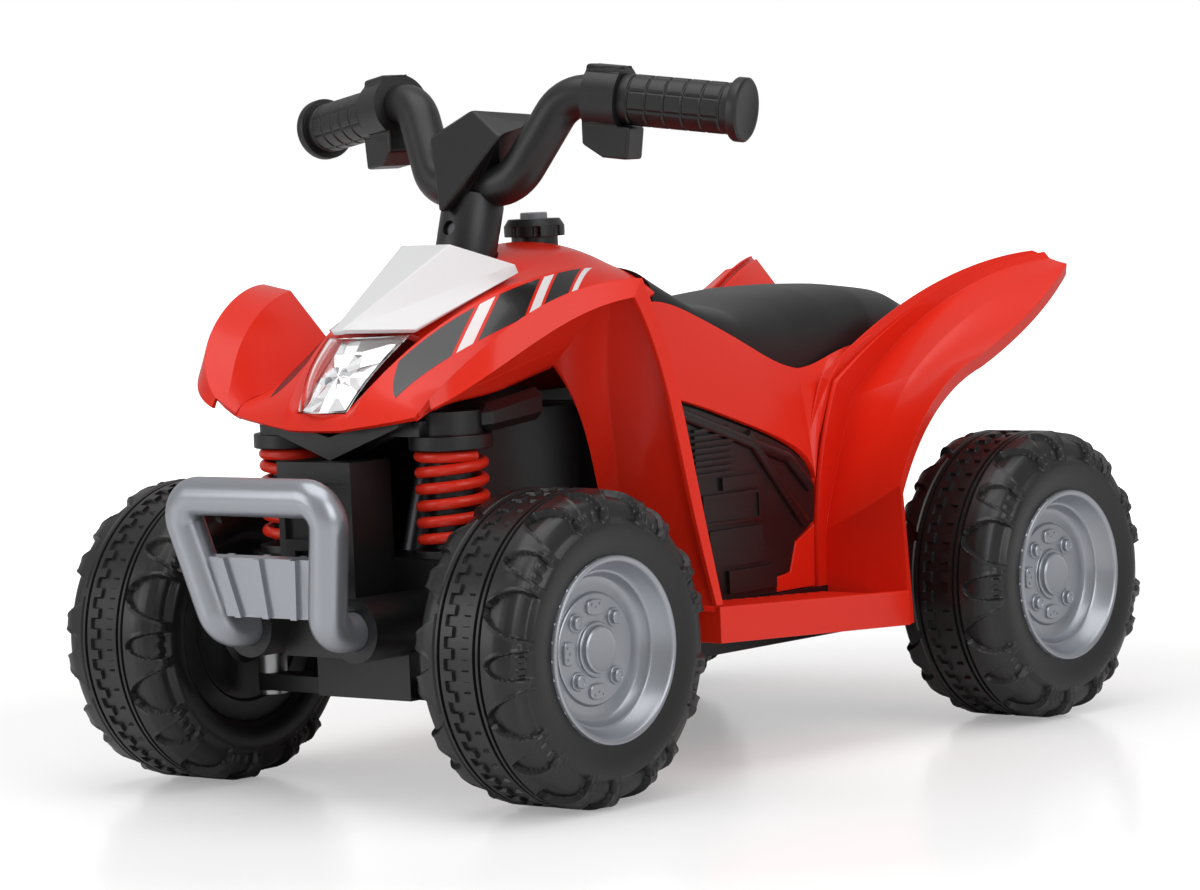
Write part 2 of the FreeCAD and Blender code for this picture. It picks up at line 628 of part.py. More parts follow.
def placed(shape, x, y):
    """A wheel piece moved to its axle, its face outward."""
    piece = shape.copy() if x > 0 else mirrored(shape)
    piece.translate(Vector(x, y, AXLE_Z))
    return piece


def chassis_frame():
    """The open tub under the seat and the hollow spine that runs forward from it."""
    floor = AXLE_Z - TUB_FLOOR
    front = FRONT_Y + TUB_FRONT
    back = REAR_Y + TUB_REAR
    rear_start = back - TUB_REAR_LENGTH
    tub = centred_box(TUB_HALF_WIDTH, front, back, floor, floor + TUB_HEIGHT)
    tub = tub.fuse(centred_box(TUB_HALF_WIDTH, rear_start, back, floor, floor + TUB_REAR_HEIGHT))
    hollow = centred_box(TUB_HALF_WIDTH - TUB_WALL, front + TUB_WALL, back - TUB_WALL,
                         floor + TUB_WALL, floor + TUB_REAR_HEIGHT + OVERRUN)
    spine_front = FRONT_Y + BEAM_HALF_DEPTH
    spine = centred_box(SPINE_HALF_WIDTH, spine_front, front + TUB_WALL, floor, floor + SPINE_HEIGHT)
    channel = centred_box(SPINE_HALF_WIDTH - TUB_WALL, spine_front + TUB_WALL, front,
                          floor - OVERRUN, floor + SPINE_HEIGHT - TUB_WALL)
    bulkhead = centred_box(TUB_HALF_WIDTH - BULKHEAD_INSET, front, front + TUB_WALL, floor, AXLE_Z + BULKHEAD_RISE)
    frame = tub.fuse(spine).cut([hollow, channel]).fuse(bulkhead)
    axle_hole = rod(Vector(-TUB_HALF_WIDTH, REAR_Y, AXLE_Z), X_AXIS, AXLE_RADIUS, 2 * TUB_HALF_WIDTH)
    sleeve_hole = rod(Vector(-TUB_HALF_WIDTH, REAR_Y, AXLE_Z), X_AXIS,
                      AXLE_RADIUS + SLEEVE_WALL + SLEEVE_CLEARANCE, TUB_WALL)
    return frame.cut([axle_hole, sleeve_hole]).removeSplitter()


def axle_beam():
    """The front cross member: middle block, spring arms, kingpin forks and the column's shelf."""
    fork_low = AXLE_Z - BARREL_HEIGHT / 2
    fork_high = AXLE_Z + BARREL_HEIGHT / 2
    top = fork_high + ARM_HEIGHT
    front = FRONT_Y - BEAM_HALF_DEPTH
    back = FRONT_Y + BEAM_HALF_DEPTH
    beam = centred_box(SPINE_HALF_WIDTH, front, back, fork_low - FORK_THICKNESS, top)
    shelf_low = AXLE_Z + SHELF_RISE
    shelf = centred_box(SHELF_HALF_WIDTH, back, back + SHELF_DEPTH, shelf_low, shelf_low + SHELF_HEIGHT)
    pieces = [shelf, centred_box(KINGPIN_X - ARM_INSET, front, FRONT_Y + ARM_HALF_DEPTH, fork_high, top)]
    cuts = [rod(column_point(0), COLUMN_AXIS, COLUMN_RADIUS + RUNNING_FIT, SHELL_RISE / 2)]
    for x in (KINGPIN_X, -KINGPIN_X):
        low_end = Vector(x, FRONT_Y, fork_low - FORK_THICKNESS)
        high_end = Vector(x, FRONT_Y, fork_high)
        pieces.append(rod(low_end, Z_AXIS, BARREL_RADIUS, FORK_THICKNESS))
        pieces.append(rod(high_end, Z_AXIS, BARREL_RADIUS, ARM_HEIGHT))
        cuts.append(rod(low_end - Z_AXIS * OVERRUN, Z_AXIS, KINGPIN_RADIUS, BARREL_HEIGHT * 3))
    for low, high in ((fork_low - FORK_THICKNESS, fork_low), (fork_high, top)):
        pieces.append(centred_box(KINGPIN_X, FRONT_Y - BARREL_RADIUS, FRONT_Y + BARREL_RADIUS, low, high))
    return beam.fuse(pieces).cut(cuts).removeSplitter()


def kingpins():
    low = AXLE_Z - BARREL_HEIGHT / 2 - FORK_THICKNESS
    high = AXLE_Z + BARREL_HEIGHT / 2 + ARM_HEIGHT
    pins = []
    for x in (KINGPIN_X, -KINGPIN_X):
        pin = rod(Vector(x, FRONT_Y, low), Z_AXIS, KINGPIN_RADIUS, high - low)
        head = rod(Vector(x, FRONT_Y, low - PIN_RADIUS), Z_AXIS, BARREL_RADIUS - SEAT_GAP, PIN_RADIUS)
        pins.append(pin.fuse(head).removeSplitter())
    return Part.makeCompound(pins)


def knuckle():
    """The left steering knuckle: barrel, stub axle, shoulder, arm and tie pin."""
    low = AXLE_Z - BARREL_HEIGHT / 2 + SEAT_GAP
    centre = Vector(KINGPIN_X, FRONT_Y, AXLE_Z)
    inner_face = FRONT_WHEEL_X - TYRE_WIDTH / 2
    shoulder = inner_face + HUB_SETBACK - SEAT_GAP - KINGPIN_X
    barrel = rod(Vector(KINGPIN_X, FRONT_Y, low), Z_AXIS, BARREL_RADIUS, BARREL_HEIGHT - 2 * SEAT_GAP)
    stub_length = inner_face + HUB_END + AXLE_STICKOUT - KINGPIN_X
    arm_low = AXLE_Z + tie_top_rise() + 2 * SEAT_GAP
    pin_centre = Vector(KINGPIN_X, FRONT_Y + KNUCKLE_ARM, arm_low)
    half = CRANK_WIDTH / 2
    arm = box((KINGPIN_X - half, FRONT_Y, arm_low), (KINGPIN_X + half, pin_centre.y, arm_low + CRANK_THICKNESS))
    end = rod(pin_centre, Z_AXIS, half, CRANK_THICKNESS)
    pin = rod(pin_centre - Z_AXIS * (TIE_THICKNESS + PIN_RADIUS), Z_AXIS, PIN_RADIUS, TIE_THICKNESS + PIN_RADIUS)
    body = barrel.fuse([rod(centre, X_AXIS, AXLE_RADIUS, stub_length),
                        rod(centre, X_AXIS, AXLE_RADIUS + PIN_RADIUS, shoulder), arm, end, pin])
    bore = rod(Vector(KINGPIN_X, FRONT_Y, low - OVERRUN), Z_AXIS, KINGPIN_RADIUS + RUNNING_FIT,
               BARREL_HEIGHT + 2 * OVERRUN)
    return body.cut(bore).removeSplitter()


def tie_top_rise():
    """Height of the tie plate's top over the axles."""
    return COLUMN_LOW_SHARE * SHELL_RISE - CRANK_LIFT


def crank_pin():
    """The crank's pin stands behind the column's foot."""
    return column_point(COLUMN_LOW_SHARE) + Y_AXIS * CRANK_ARM


def tie_plate():
    """A flat T-shaped plate with slots for both knuckle pins and the crank's pin."""
    top = AXLE_Z + tie_top_rise()
    pin_y = FRONT_Y + KNUCKLE_ARM
    border = PIN_RADIUS + TIE_BORDER
    sag = CRANK_ARM * (1 - math.cos(math.radians(STEER_LIMIT)))
    plate = centred_box(KINGPIN_X + border, pin_y - sag - border, pin_y + border, top - TIE_THICKNESS, top)
    crank = crank_pin()
    stem = centred_box(border, pin_y, crank.y + border, top - TIE_THICKNESS, top)
    slots = [tie_slot(x, pin_y, sag, top, PIN_GAP) for x in (KINGPIN_X, -KINGPIN_X)]
    slots.append(tie_slot(0, crank.y, sag, top, CRANK_PIN_GAP))
    return plate.fuse(stem).cut(slots).removeSplitter()


def tie_slot(x, y, sag, top, gap):
    """A pin hole lengthened forward by the arc that the pin swings through."""
    radius = PIN_RADIUS + gap
    low = top - TIE_THICKNESS - OVERRUN
    height = TIE_THICKNESS + 2 * OVERRUN
    ends = [rod(Vector(x, y - shift, low), Z_AXIS, radius, height) for shift in (0, sag)]
    return ends[0].fuse([ends[1], box((x - radius, y - sag, low), (x + radius, y, low + height))])


def steering_column():
    """The steel steering rod with its crank and pin at the foot."""
    foot = column_point(COLUMN_LOW_SHARE)
    head = column_point(COLUMN_HIGH_SHARE)
    shaft = rod(foot, COLUMN_AXIS, COLUMN_RADIUS, (head - foot).Length)
    pin = crank_pin()
    half = CRANK_WIDTH / 2
    crank = box((-half, foot.y, foot.z), (half, pin.y, foot.z + CRANK_THICKNESS))
    ends = [rod(foot, Z_AXIS, CRANK_EYE_RADIUS, CRANK_THICKNESS), rod(pin, Z_AXIS, half, CRANK_THICKNESS)]
    stud = rod(pin - Z_AXIS * (TIE_THICKNESS + PIN_RADIUS), Z_AXIS, PIN_RADIUS, TIE_THICKNESS + PIN_RADIUS)
    below = centred_box(CRANK_WIDTH, foot.y - CRANK_WIDTH, foot.y + CRANK_WIDTH, foot.z - CRANK_WIDTH, foot.z)
    return shaft.cut(below).fuse([crank, stud] + ends).removeSplitter()


def column_tube():
    """The fixed guide tube that stands on the shelf round the rod."""
    shelf_top = (SHELF_RISE + SHELF_HEIGHT + SEAT_GAP) / SHELL_RISE
    radius = COLUMN_RADIUS + COLUMN_TUBE_WALL
    lift = radius * math.sin(RAKE) / SHELL_RISE
    foot = column_point(shelf_top + lift)
    head = column_point(GUIDE_HIGH_SHARE)
    return tube(foot, COLUMN_AXIS, radius, COLUMN_RADIUS + RUNNING_FIT, (head - foot).Length)


def bar_points():
    left = shell_row(BAR_SHARES)
    return left + flipped(left)[::-1]


def grip_axis():
    """Direction from the handlebar's upper bend to its left end."""
    end, bend = bar_points()[:2]
    return (end - bend).normalize()


def handlebar():
    """One moulding: the sleeve over the rod and the bent bar across it."""
    low = column_point(SLEEVE_LOW_SHARE)
    high = column_point(SLEEVE_HIGH_SHARE)
    sleeve = rod(low, COLUMN_AXIS, SLEEVE_RADIUS, (high - low).Length)
    bar = bent_rod(bar_points(), BAR_BEND, BAR_RADIUS)
    bore = rod(low, COLUMN_AXIS, COLUMN_RADIUS, (column_point(COLUMN_HIGH_SHARE) - low).Length)
    return sleeve.fuse(bar).cut([bore, screw_hole(SEAT_GAP)]).removeSplitter()


def screw_hole(gap):
    """The round hole in the sleeve's front, down to the rod."""
    across = X_AXIS.cross(COLUMN_AXIS)
    centre = column_point(COLUMN_SHARES[2])
    return rod(centre + across * (COLUMN_RADIUS + gap), across, SCREW_RADIUS + gap, SLEEVE_RADIUS)


def column_screw():
    across = X_AXIS.cross(COLUMN_AXIS)
    centre = column_point(COLUMN_SHARES[2])
    return rod(centre + across * (COLUMN_RADIUS + SEAT_GAP), across, SCREW_RADIUS, SLEEVE_RADIUS / 2)


def handlebar_pad(bar):
    """The faceted shield in front of the bar's middle."""
    tip, cheek, brow, top, back_top, back_low = shell_row([
        PAD_TIP_SHARES, PAD_CHEEK_SHARES, PAD_BROW_SHARES, PAD_TOP_SHARES, PAD_BACK_TOP_SHARES,
        PAD_BACK_LOW_SHARES])
    right = flipped([cheek, brow, back_top, back_low])
    outlines = [
        [tip, cheek, top], [cheek, brow, top], [tip, top, right[0]], [right[0], top, right[1]],
        [top, brow, back_top], [top, back_top, right[2]], [top, right[2], right[1]],
        [brow, cheek, back_top], [cheek, back_low, back_top], [cheek, tip, back_low],
        [right[1], right[2], right[0]], [right[0], right[2], right[3]], [right[0], right[3], tip],
        [tip, right[3], back_low], [back_top, back_low, right[3]], [back_top, right[3], right[2]]]
    faces = [Part.Face(Part.makePolygon(outline + outline[:1])) for outline in outlines]
    pad = Part.makeSolid(Part.makeShell(faces))
    if pad.Volume < 0:
        pad.reverse()
    left_over = pad.cut(bar).Solids
    return max(left_over, key=lambda piece: piece.Volume)


def along_grip(shape):
    """A piece drawn along +X from the left bar end, turned into place: local Y looks to the rider."""
    end = bar_points()[0]
    axis = grip_axis()
    up = (Z_AXIS - axis * axis.z).normalize()
    rear = up.cross(axis)
    shape.Placement = FreeCAD.Placement(FreeCAD.Matrix(
        axis.x, rear.x, up.x, end.x, axis.y, rear.y, up.y, end.y, axis.z, rear.z, up.z, end.z, 0, 0, 0, 1))
    return shape


def grip():
    """The left hand grip with its end flange and ring grooves."""
    inner = -GRIP_LENGTH
    profile = [(GRIP_END_LENGTH / 2, 0), (GRIP_END_LENGTH / 2, GRIP_END_RADIUS),
               (-GRIP_END_LENGTH / 2, GRIP_END_RADIUS), (-GRIP_END_LENGTH / 2, GRIP_RADIUS)]
    pitch = (GRIP_LENGTH - GRIP_END_LENGTH) / GRIP_RING_COUNT
    for index in range(1, GRIP_RING_COUNT):
        start = -GRIP_END_LENGTH / 2 - index * pitch + GRIP_RING_WIDTH / 2
        profile += [(start, GRIP_RADIUS), (start, GRIP_RADIUS - GRIP_RING_DEPTH),
                    (start - GRIP_RING_WIDTH, GRIP_RADIUS - GRIP_RING_DEPTH),
                    (start - GRIP_RING_WIDTH, GRIP_RADIUS)]
    profile += [(inner, GRIP_RADIUS), (inner, BAR_RADIUS), (0, BAR_RADIUS), (0, 0)]
    return along_grip(revolved(profile))


def housing_start():
    """Where the switch housing's inner face lies along the grip."""
    return -GRIP_LENGTH - SEAT_GAP - COLLAR_LENGTH


def button_seat():
    """Middle of the button's outer face at rest, on the housing's rear side."""
    return Vector(housing_start() + COLLAR_LENGTH / 2, HOUSING_WIDTH / 2 + BUTTON_PROUD,
                  -(HOUSING_DROP + GRIP_RADIUS) / 2)


def switch_housing():
    """The left switch housing: collar round the bar and a box hanging below it."""
    start = housing_start()
    half = HOUSING_WIDTH / 2
    collar = rod(Vector(start, 0, 0), X_AXIS, COLLAR_RADIUS, COLLAR_LENGTH)
    chamfer = HOUSING_DROP / 5
    end = start + HOUSING_LENGTH
    roof_low = -GRIP_RADIUS - SEAT_GAP
    side = [(start, roof_low), (end, roof_low), (end, -HOUSING_DROP), (start + chamfer * 2, -HOUSING_DROP),
            (start, -HOUSING_DROP + chamfer)]
    drop = prism([Vector(x, -half, z) for x, z in side], Y_AXIS * HOUSING_WIDTH)
    roof = box((start, -half, 0), (start + COLLAR_LENGTH, half / 2, COLLAR_RADIUS))
    bore = rod(Vector(start - OVERRUN, 0, 0), X_AXIS, BAR_RADIUS, HOUSING_LENGTH + 2 * OVERRUN)
    depth = BUTTON_LENGTH + BUTTON_TRAVEL + SLIDE_GAP
    pocket = rod(button_seat() - Y_AXIS * depth, Y_AXIS, BUTTON_RADIUS + SLIDE_GAP, depth + OVERRUN)
    return along_grip(collar.fuse([drop, roof]).cut([bore, pocket]).removeSplitter())


def push_button():
    """The left thumb button at rest, proud of its housing."""
    return along_grip(rod(button_seat() - Y_AXIS * BUTTON_LENGTH, Y_AXIS, BUTTON_RADIUS, BUTTON_LENGTH))


def front_frame():
    """The black nose frame: tower, V-shaped chin, bumper sockets and the housings over the shocks."""
    back = FRONT_Y - BEAM_HALF_DEPTH
    front = back - TOWER_DEPTH
    tower = centred_box(TOWER_HALF_WIDTH, front, back, AXLE_Z - TOWER_DROP, AXLE_Z + TOWER_RISE)
    outline = CHIN_SHARES + [(-share, rise) for share, rise in CHIN_SHARES[-2:0:-1]]
    chin_points = shell_row([(share, -CHIN_FRONT_SHARE, rise) for share, rise in outline])
    chin = prism(chin_points, Y_AXIS * (back - chin_points[0].y))
    low = shock_top() + SHOCK_CUP
    bridge = centred_box(SHOCK_X, FRONT_Y - ARM_HALF_DEPTH - OVERRUN, FRONT_Y, low, low + SHOCK_BRIDGE)
    housing = shock_housing(low)
    end = shell_point(BUMPER_SHARES[0])
    sockets, bores = [], []
    for x in (end.x, -end.x):
        mouth = Vector(x, back - SOCKET_LENGTH, end.z)
        sockets.append(rod(mouth, Y_AXIS, SOCKET_RADIUS, SOCKET_LENGTH))
        bores.append(rod(mouth - Y_AXIS * OVERRUN, Y_AXIS, BUMPER_RADIUS + SEAT_GAP, SOCKET_LENGTH / 2 + OVERRUN))
    frame = tower.fuse([chin, bridge, housing, mirrored(housing)] + sockets)
    return frame.cut(bores + tower_recesses(front)).removeSplitter()


def shock_housing(low):
    """The chamfered box behind the left shock's cap, rising to the rear under the fender."""
    start = FRONT_Y + SHOCK_HOOD_START
    end = start + SHOCK_HOOD_LENGTH
    inner = SHOCK_X - SHOCK_HOOD_HALF_WIDTH
    high = low + SHOCK_HOOD_HEIGHT
    side = [(start, low), (start, high), (end, high + SHOCK_HOOD_CLIMB), (end, low + SHOCK_HOOD_FALL)]
    case = prism([Vector(inner, y, z) for y, z in side], X_AXIS * (2 * SHOCK_HOOD_HALF_WIDTH))
    case = case.makeChamfer(SHOCK_HOOD_CHAMFER, case.Edges)
    return case.fuse(rod(Vector(SHOCK_X, FRONT_Y, low), Z_AXIS, SHOCK_CAP_RADIUS, SHOCK_CAP))


def tower_recesses(front):
    """Two tall panels and a square window sunk into the tower's front."""
    def sunk(shares, depth):
        (near, low), (far, high) = shares
        return box((near * TOWER_HALF_WIDTH, front - OVERRUN, AXLE_Z + low * TOWER_RISE),
                   (far * TOWER_HALF_WIDTH, front + depth, AXLE_Z + high * TOWER_RISE))

    halves = [sunk(TOWER_PANEL_SHARES, PANEL_RECESS), sunk(TOWER_WINDOW_SHARES, 2 * PANEL_RECESS)]
    return halves + [mirrored(half) for half in halves]


def shock_base():
    """Height of the spring arm's top."""
    return AXLE_Z + BARREL_HEIGHT / 2 + ARM_HEIGHT


def spring_base():
    return shock_base() + SHOCK_PLATE + SEAT_GAP


def shock_top():
    """Height of the cup's underside over the spring."""
    return spring_base() + SPRING_TURNS * SPRING_PITCH + 2 * SPRING_WIRE + SEAT_GAP


def shock_body():
    """The left shock absorber's core with its foot plate and cup."""
    foot = Vector(SHOCK_X, FRONT_Y, shock_base())
    top = shock_top()
    plate = rod(foot, Z_AXIS, SHOCK_PLATE_RADIUS, SHOCK_PLATE)
    core = rod(foot, Z_AXIS, SHOCK_CORE_RADIUS, top - foot.z)
    cup = rod(Vector(SHOCK_X, FRONT_Y, top), Z_AXIS, SHOCK_CUP_RADIUS, SHOCK_CUP)
    return plate.fuse([core, cup]).removeSplitter()


def spring():
    """The left coil spring: one tube on two arcs for each half turn."""
    base = spring_base() + SPRING_WIRE

    def coil_point(turns):
        angle = math.radians(360 * turns)
        return Vector(SHOCK_X + SPRING_RADIUS * math.cos(angle), FRONT_Y + SPRING_RADIUS * math.sin(angle),
                      base + SPRING_PITCH * turns)

    def coil_way(turns):
        angle = math.radians(360 * turns)
        return Vector(-SPRING_RADIUS * math.sin(angle), SPRING_RADIUS * math.cos(angle),
                      SPRING_PITCH / (2 * math.pi)).normalize()

    arcs = []
    for step in range(2 * SPRING_TURNS):
        here, there = step / 2, (step + 1) / 2
        arcs += biarc(coil_point(here), coil_way(here), coil_point(there), coil_way(there))
    section = Part.Wire(Part.makeCircle(SPRING_WIRE, coil_point(0), coil_way(0)))
    path = Part.Wire(arcs)
    print("spring: least gap to itself", round(coil_gap(path), 2), "mm")
    return path.makePipeShell([section], True, False)


def coil_gap(path):
    """The least gap between neighbouring turns, measured on points of the path."""
    per_turn = 36
    points = path.discretize(per_turn * SPRING_TURNS + 1)
    gaps = [(points[index] - points[index + per_turn + shift]).Length
            for index in range(per_turn * (SPRING_TURNS - 1)) for shift in (-1, 0, 1)
            if index + per_turn + shift < len(points)]
    return min(gaps) - 2 * SPRING_WIRE


def bumper():
    """A bent tube loop with a ribbed plate between its legs."""
    left = shell_row(BUMPER_SHARES)
    loop = bent_rod(left + flipped(left)[::-1], BUMPER_BEND, BUMPER_RADIUS)
    low, high = left[1], left[2]
    corners = [low + (high - low) * share for share in (BUMPER_PLATE_LOW_SHARE, BUMPER_PLATE_HIGH_SHARE)]
    outline = [corners[0], corners[1]] + flipped([corners[1], corners[0]])
    normal = X_AXIS.cross(high - low).normalize()
    lift = normal * (-BUMPER_PLATE / 2)
    plate = prism([corner + lift for corner in outline], normal * BUMPER_PLATE)
    width = X_AXIS * BUMPER_RIB
    rise = normal * (BUMPER_PLATE / 2 + BUMPER_RIB)
    ribs = []
    for index in range(BUMPER_RIB_COUNT):
        place = index - (BUMPER_RIB_COUNT - 1) / 2
        foot, head = [Vector(place * share * corners[0].x, corner.y, corner.z)
                      for share, corner in zip(BUMPER_RIB_SHARES, corners)]
        band = [foot - width, foot + width, head + width, head - width]
        ribs += [prism(band, rise), prism(band, rise * -1)]
    return loop.fuse([plate] + ribs).removeSplitter()


def hood_cover():
    """The red hood and tank top, with holes for the steering sleeve and the filler neck."""
    half = [shell_row(table) for table in (
        HOOD_EDGE_SHARES, HOOD_FLANK_SHARES, HOOD_SHOULDER_SHARES, HOOD_BED_SHARES)]
    rows = half + [shell_row(HOOD_CREST_SHARES)] + [flipped(row) for row in half[::-1]]
    hood = panel(rows, [2, 3, 5, 6], [], SHELL_WALL)
    low = column_point(SLEEVE_LOW_SHARE)
    sleeve_hole = rod(low, COLUMN_AXIS, SLEEVE_RADIUS + SLEEVE_CLEARANCE, SHELL_RISE / 2)
    neck_hole = rod(Vector(0, -FILLER_Y, filler_base() - FILLER_NECK), Z_AXIS, FILLER_NECK_RADIUS + SEAT_GAP,
                    FILLER_NECK * 2)
    return hood.cut([sleeve_hole, neck_hole, lamp_window()])


def lamp_window():
    """The opening that the lens closes, pushed in from the front."""
    left = [Vector(point.x + SEAT_GAP, -HALF_BASE * 2, point.z) for point in shell_row(LENS_SIDE_SHARES)]
    left[0].z = shell_point(LENS_KEEL_SHARES[0]).z - SEAT_GAP
    left[-1].z += SEAT_GAP
    depth = LENS_SIDE_SHARES[-1][1] * HALF_BASE + SHELL_WALL * OVERRUN + HALF_BASE * 2
    return prism(left + flipped(left)[::-1], Y_AXIS * depth)


def filler_base():
    """Height of the filler cap's underside, just over the tank."""
    return AXLE_Z + SHELL_RISE * FILLER_SHARE


def filler_cap():
    """The knurled filler cap with its neck and a pocket for the start button."""
    base = Vector(0, -FILLER_Y, filler_base())
    skirt = FILLER_HEIGHT * FILLER_SKIRT_SHARE
    body = rod(base, Z_AXIS, FILLER_RADIUS, skirt)
    crown = Part.makeCone(FILLER_RADIUS, FILLER_RADIUS * FILLER_CROWN_SHARE, FILLER_HEIGHT - skirt,
                          base + Z_AXIS * skirt)
    neck = rod(base - Z_AXIS * FILLER_NECK, Z_AXIS, FILLER_NECK_RADIUS, FILLER_NECK)
    notches = []
    for index in range(FILLER_NOTCH_COUNT):
        angle = math.radians(index * 360 / FILLER_NOTCH_COUNT)
        foot = base + Vector(math.cos(angle), math.sin(angle), 0) * FILLER_RADIUS
        notches.append(rod(foot - Z_AXIS * OVERRUN, Z_AXIS, FILLER_NOTCH_RADIUS, skirt + OVERRUN))
    pocket = rod(start_foot() - Z_AXIS * (START_PROUD + SEAT_GAP), Z_AXIS, START_RADIUS + SLIDE_GAP,
                 START_LENGTH + 2 * OVERRUN)
    return body.fuse([crown, neck]).cut(notches + [pocket]).removeSplitter()


def start_foot():
    return Vector(0, -FILLER_Y, filler_base() + FILLER_HEIGHT + START_PROUD - START_LENGTH)


def start_button():
    return rod(start_foot(), Z_AXIS, START_RADIUS, START_LENGTH)


def nose_panel():
    """The faceted white cover over the hood's front."""
    half = [shell_row(table) for table in (NOSE_FOOT_SHARES, NOSE_FOLD_SHARES, NOSE_CREST_SHARES)]
    rows = half + [flipped(row) for row in half[::-1]]
    return panel(rows, list(range(1, len(rows) - 1)), [], TRIM_WALL)


def lamp_sheet(side, cheek, keel, wall):
    half = [shell_row(table) for table in (side, cheek)]
    rows = half + [shell_row(keel)] + [flipped(row) for row in half[::-1]]
    return panel(rows, [], [], wall)


def front_fender():
    """The left petal fender that folds down into the leg shield."""
    rows = [shell_row(table) for table in (
        FENDER_LIP_SHARES, FENDER_EDGE_SHARES, FENDER_CREASE_SHARES, FENDER_ROOT_SHARES)]
    return panel(rows, [1, 2], [4], SHELL_WALL)


def side_panel():
    """The left flank between the tank, the seat and the engine cover."""
    rows = [shell_row(table) for table in (SIDE_LOW_SHARES, SIDE_MID_SHARES, SIDE_TOP_SHARES)]
    return panel(rows, [], [7, 9], SHELL_WALL)


def rear_fender():
    """The left rear shield: it folds twice on its way up and back to the fender's tip."""
    rows = [shell_row(table) for table in (
        REAR_LIP_SHARES, REAR_EDGE_SHARES, REAR_CREASE_SHARES, REAR_ROOT_SHARES, REAR_STEP_SHARES)]
    return panel(rows, [1, 2, 3], [1, 3], SHELL_WALL)


def tail_panel():
    """The trough between the rear fenders, with a lip turned down behind."""
    half = [shell_row(table) for table in (TAIL_RIDGE_SHARES, TAIL_WALL_SHARES)]
    rows = half + [shell_row(TAIL_DECK_SHARES)] + [flipped(row) for row in half[::-1]]
    return panel(rows, [1, 3], [4], SHELL_WALL)


def seat():
    """The saddle: a loft through arched sections."""
    sections = []
    for along, width, low, high in SEAT_SHARES:
        left = shell_point((width, along, low))
        crown = shell_point((0, along, high))
        rise = crown.z - left.z
        shoulder = Vector(left.x * SEAT_SHOULDER_SHARE, left.y, left.z + rise * SEAT_SHOULDER_RISE_SHARE)
        right, right_shoulder = flipped([left, shoulder])
        arch = Part.BSplineCurve()
        arch.interpolate([left, shoulder, crown, right_shoulder, right])
        sections.append(Part.Wire([arch.toShape(), Part.makeLine(right, left)]))
    return Part.makeLoft(sections, True, False)


def board_top(y):
    """Height of the footboard's outer lip, which falls to the rear."""
    return AXLE_Z + BOARD_TOP - BOARD_FALL * (y - BOARD_FRONT) / (BOARD_REAR - BOARD_FRONT)


def board_bar(inner, outer, front, back, over, under):
    """A bar of the footboard between two depths under its falling top."""
    side = [(front, over), (back, over), (back, under), (front, under)]
    return prism([Vector(inner, y, board_top(y) - depth) for y, depth in side], X_AXIS * (outer - inner))


def footboard():
    """The left footboard: ribbed plate, outer lip, end walls and the flange on the tub."""
    outer = SHELL_HALF_WIDTH
    ends = (BOARD_FRONT, BOARD_REAR)
    tread = BOARD_LIP_RISE
    board = board_bar(BOARD_INNER, outer, *ends, tread, tread + BOARD_PLATE)
    flange = box((TUB_HALF_WIDTH + SEAT_GAP, BOARD_FRONT, AXLE_Z + BOARD_TOP - BOARD_DEPTH),
                 (BOARD_INNER + BOARD_LIP, BOARD_REAR, board_top(BOARD_REAR) - BOARD_PLATE))
    pieces = [flange, board_bar(BOARD_INNER, BOARD_INNER + BOARD_LIP, *ends, tread, BOARD_DEPTH),
              board_bar(outer - BOARD_LIP, outer, *ends, 0, BOARD_DEPTH)]
    for start in (BOARD_FRONT, BOARD_REAR - BOARD_LIP):
        pieces.append(board_bar(BOARD_INNER, outer, start, start + BOARD_LIP, tread, BOARD_DEPTH))
    pitch = (BOARD_REAR - BOARD_FRONT) / (TREAD_COUNT + 1)
    start = (BOARD_INNER + outer - TREAD_LENGTH) / 2
    for index in range(TREAD_COUNT):
        y = BOARD_FRONT + pitch * (index + 1)
        pieces.append(board_bar(start, start + TREAD_LENGTH, y - TREAD_WIDTH / 2, y + TREAD_WIDTH / 2,
                                tread - TREAD_HEIGHT, tread + TREAD_HEIGHT))
    return board.fuse(pieces).removeSplitter()


def flank_point(x, along, rise):
    return Vector(x, along * HALF_BASE, AXLE_Z + rise * SHELL_RISE)


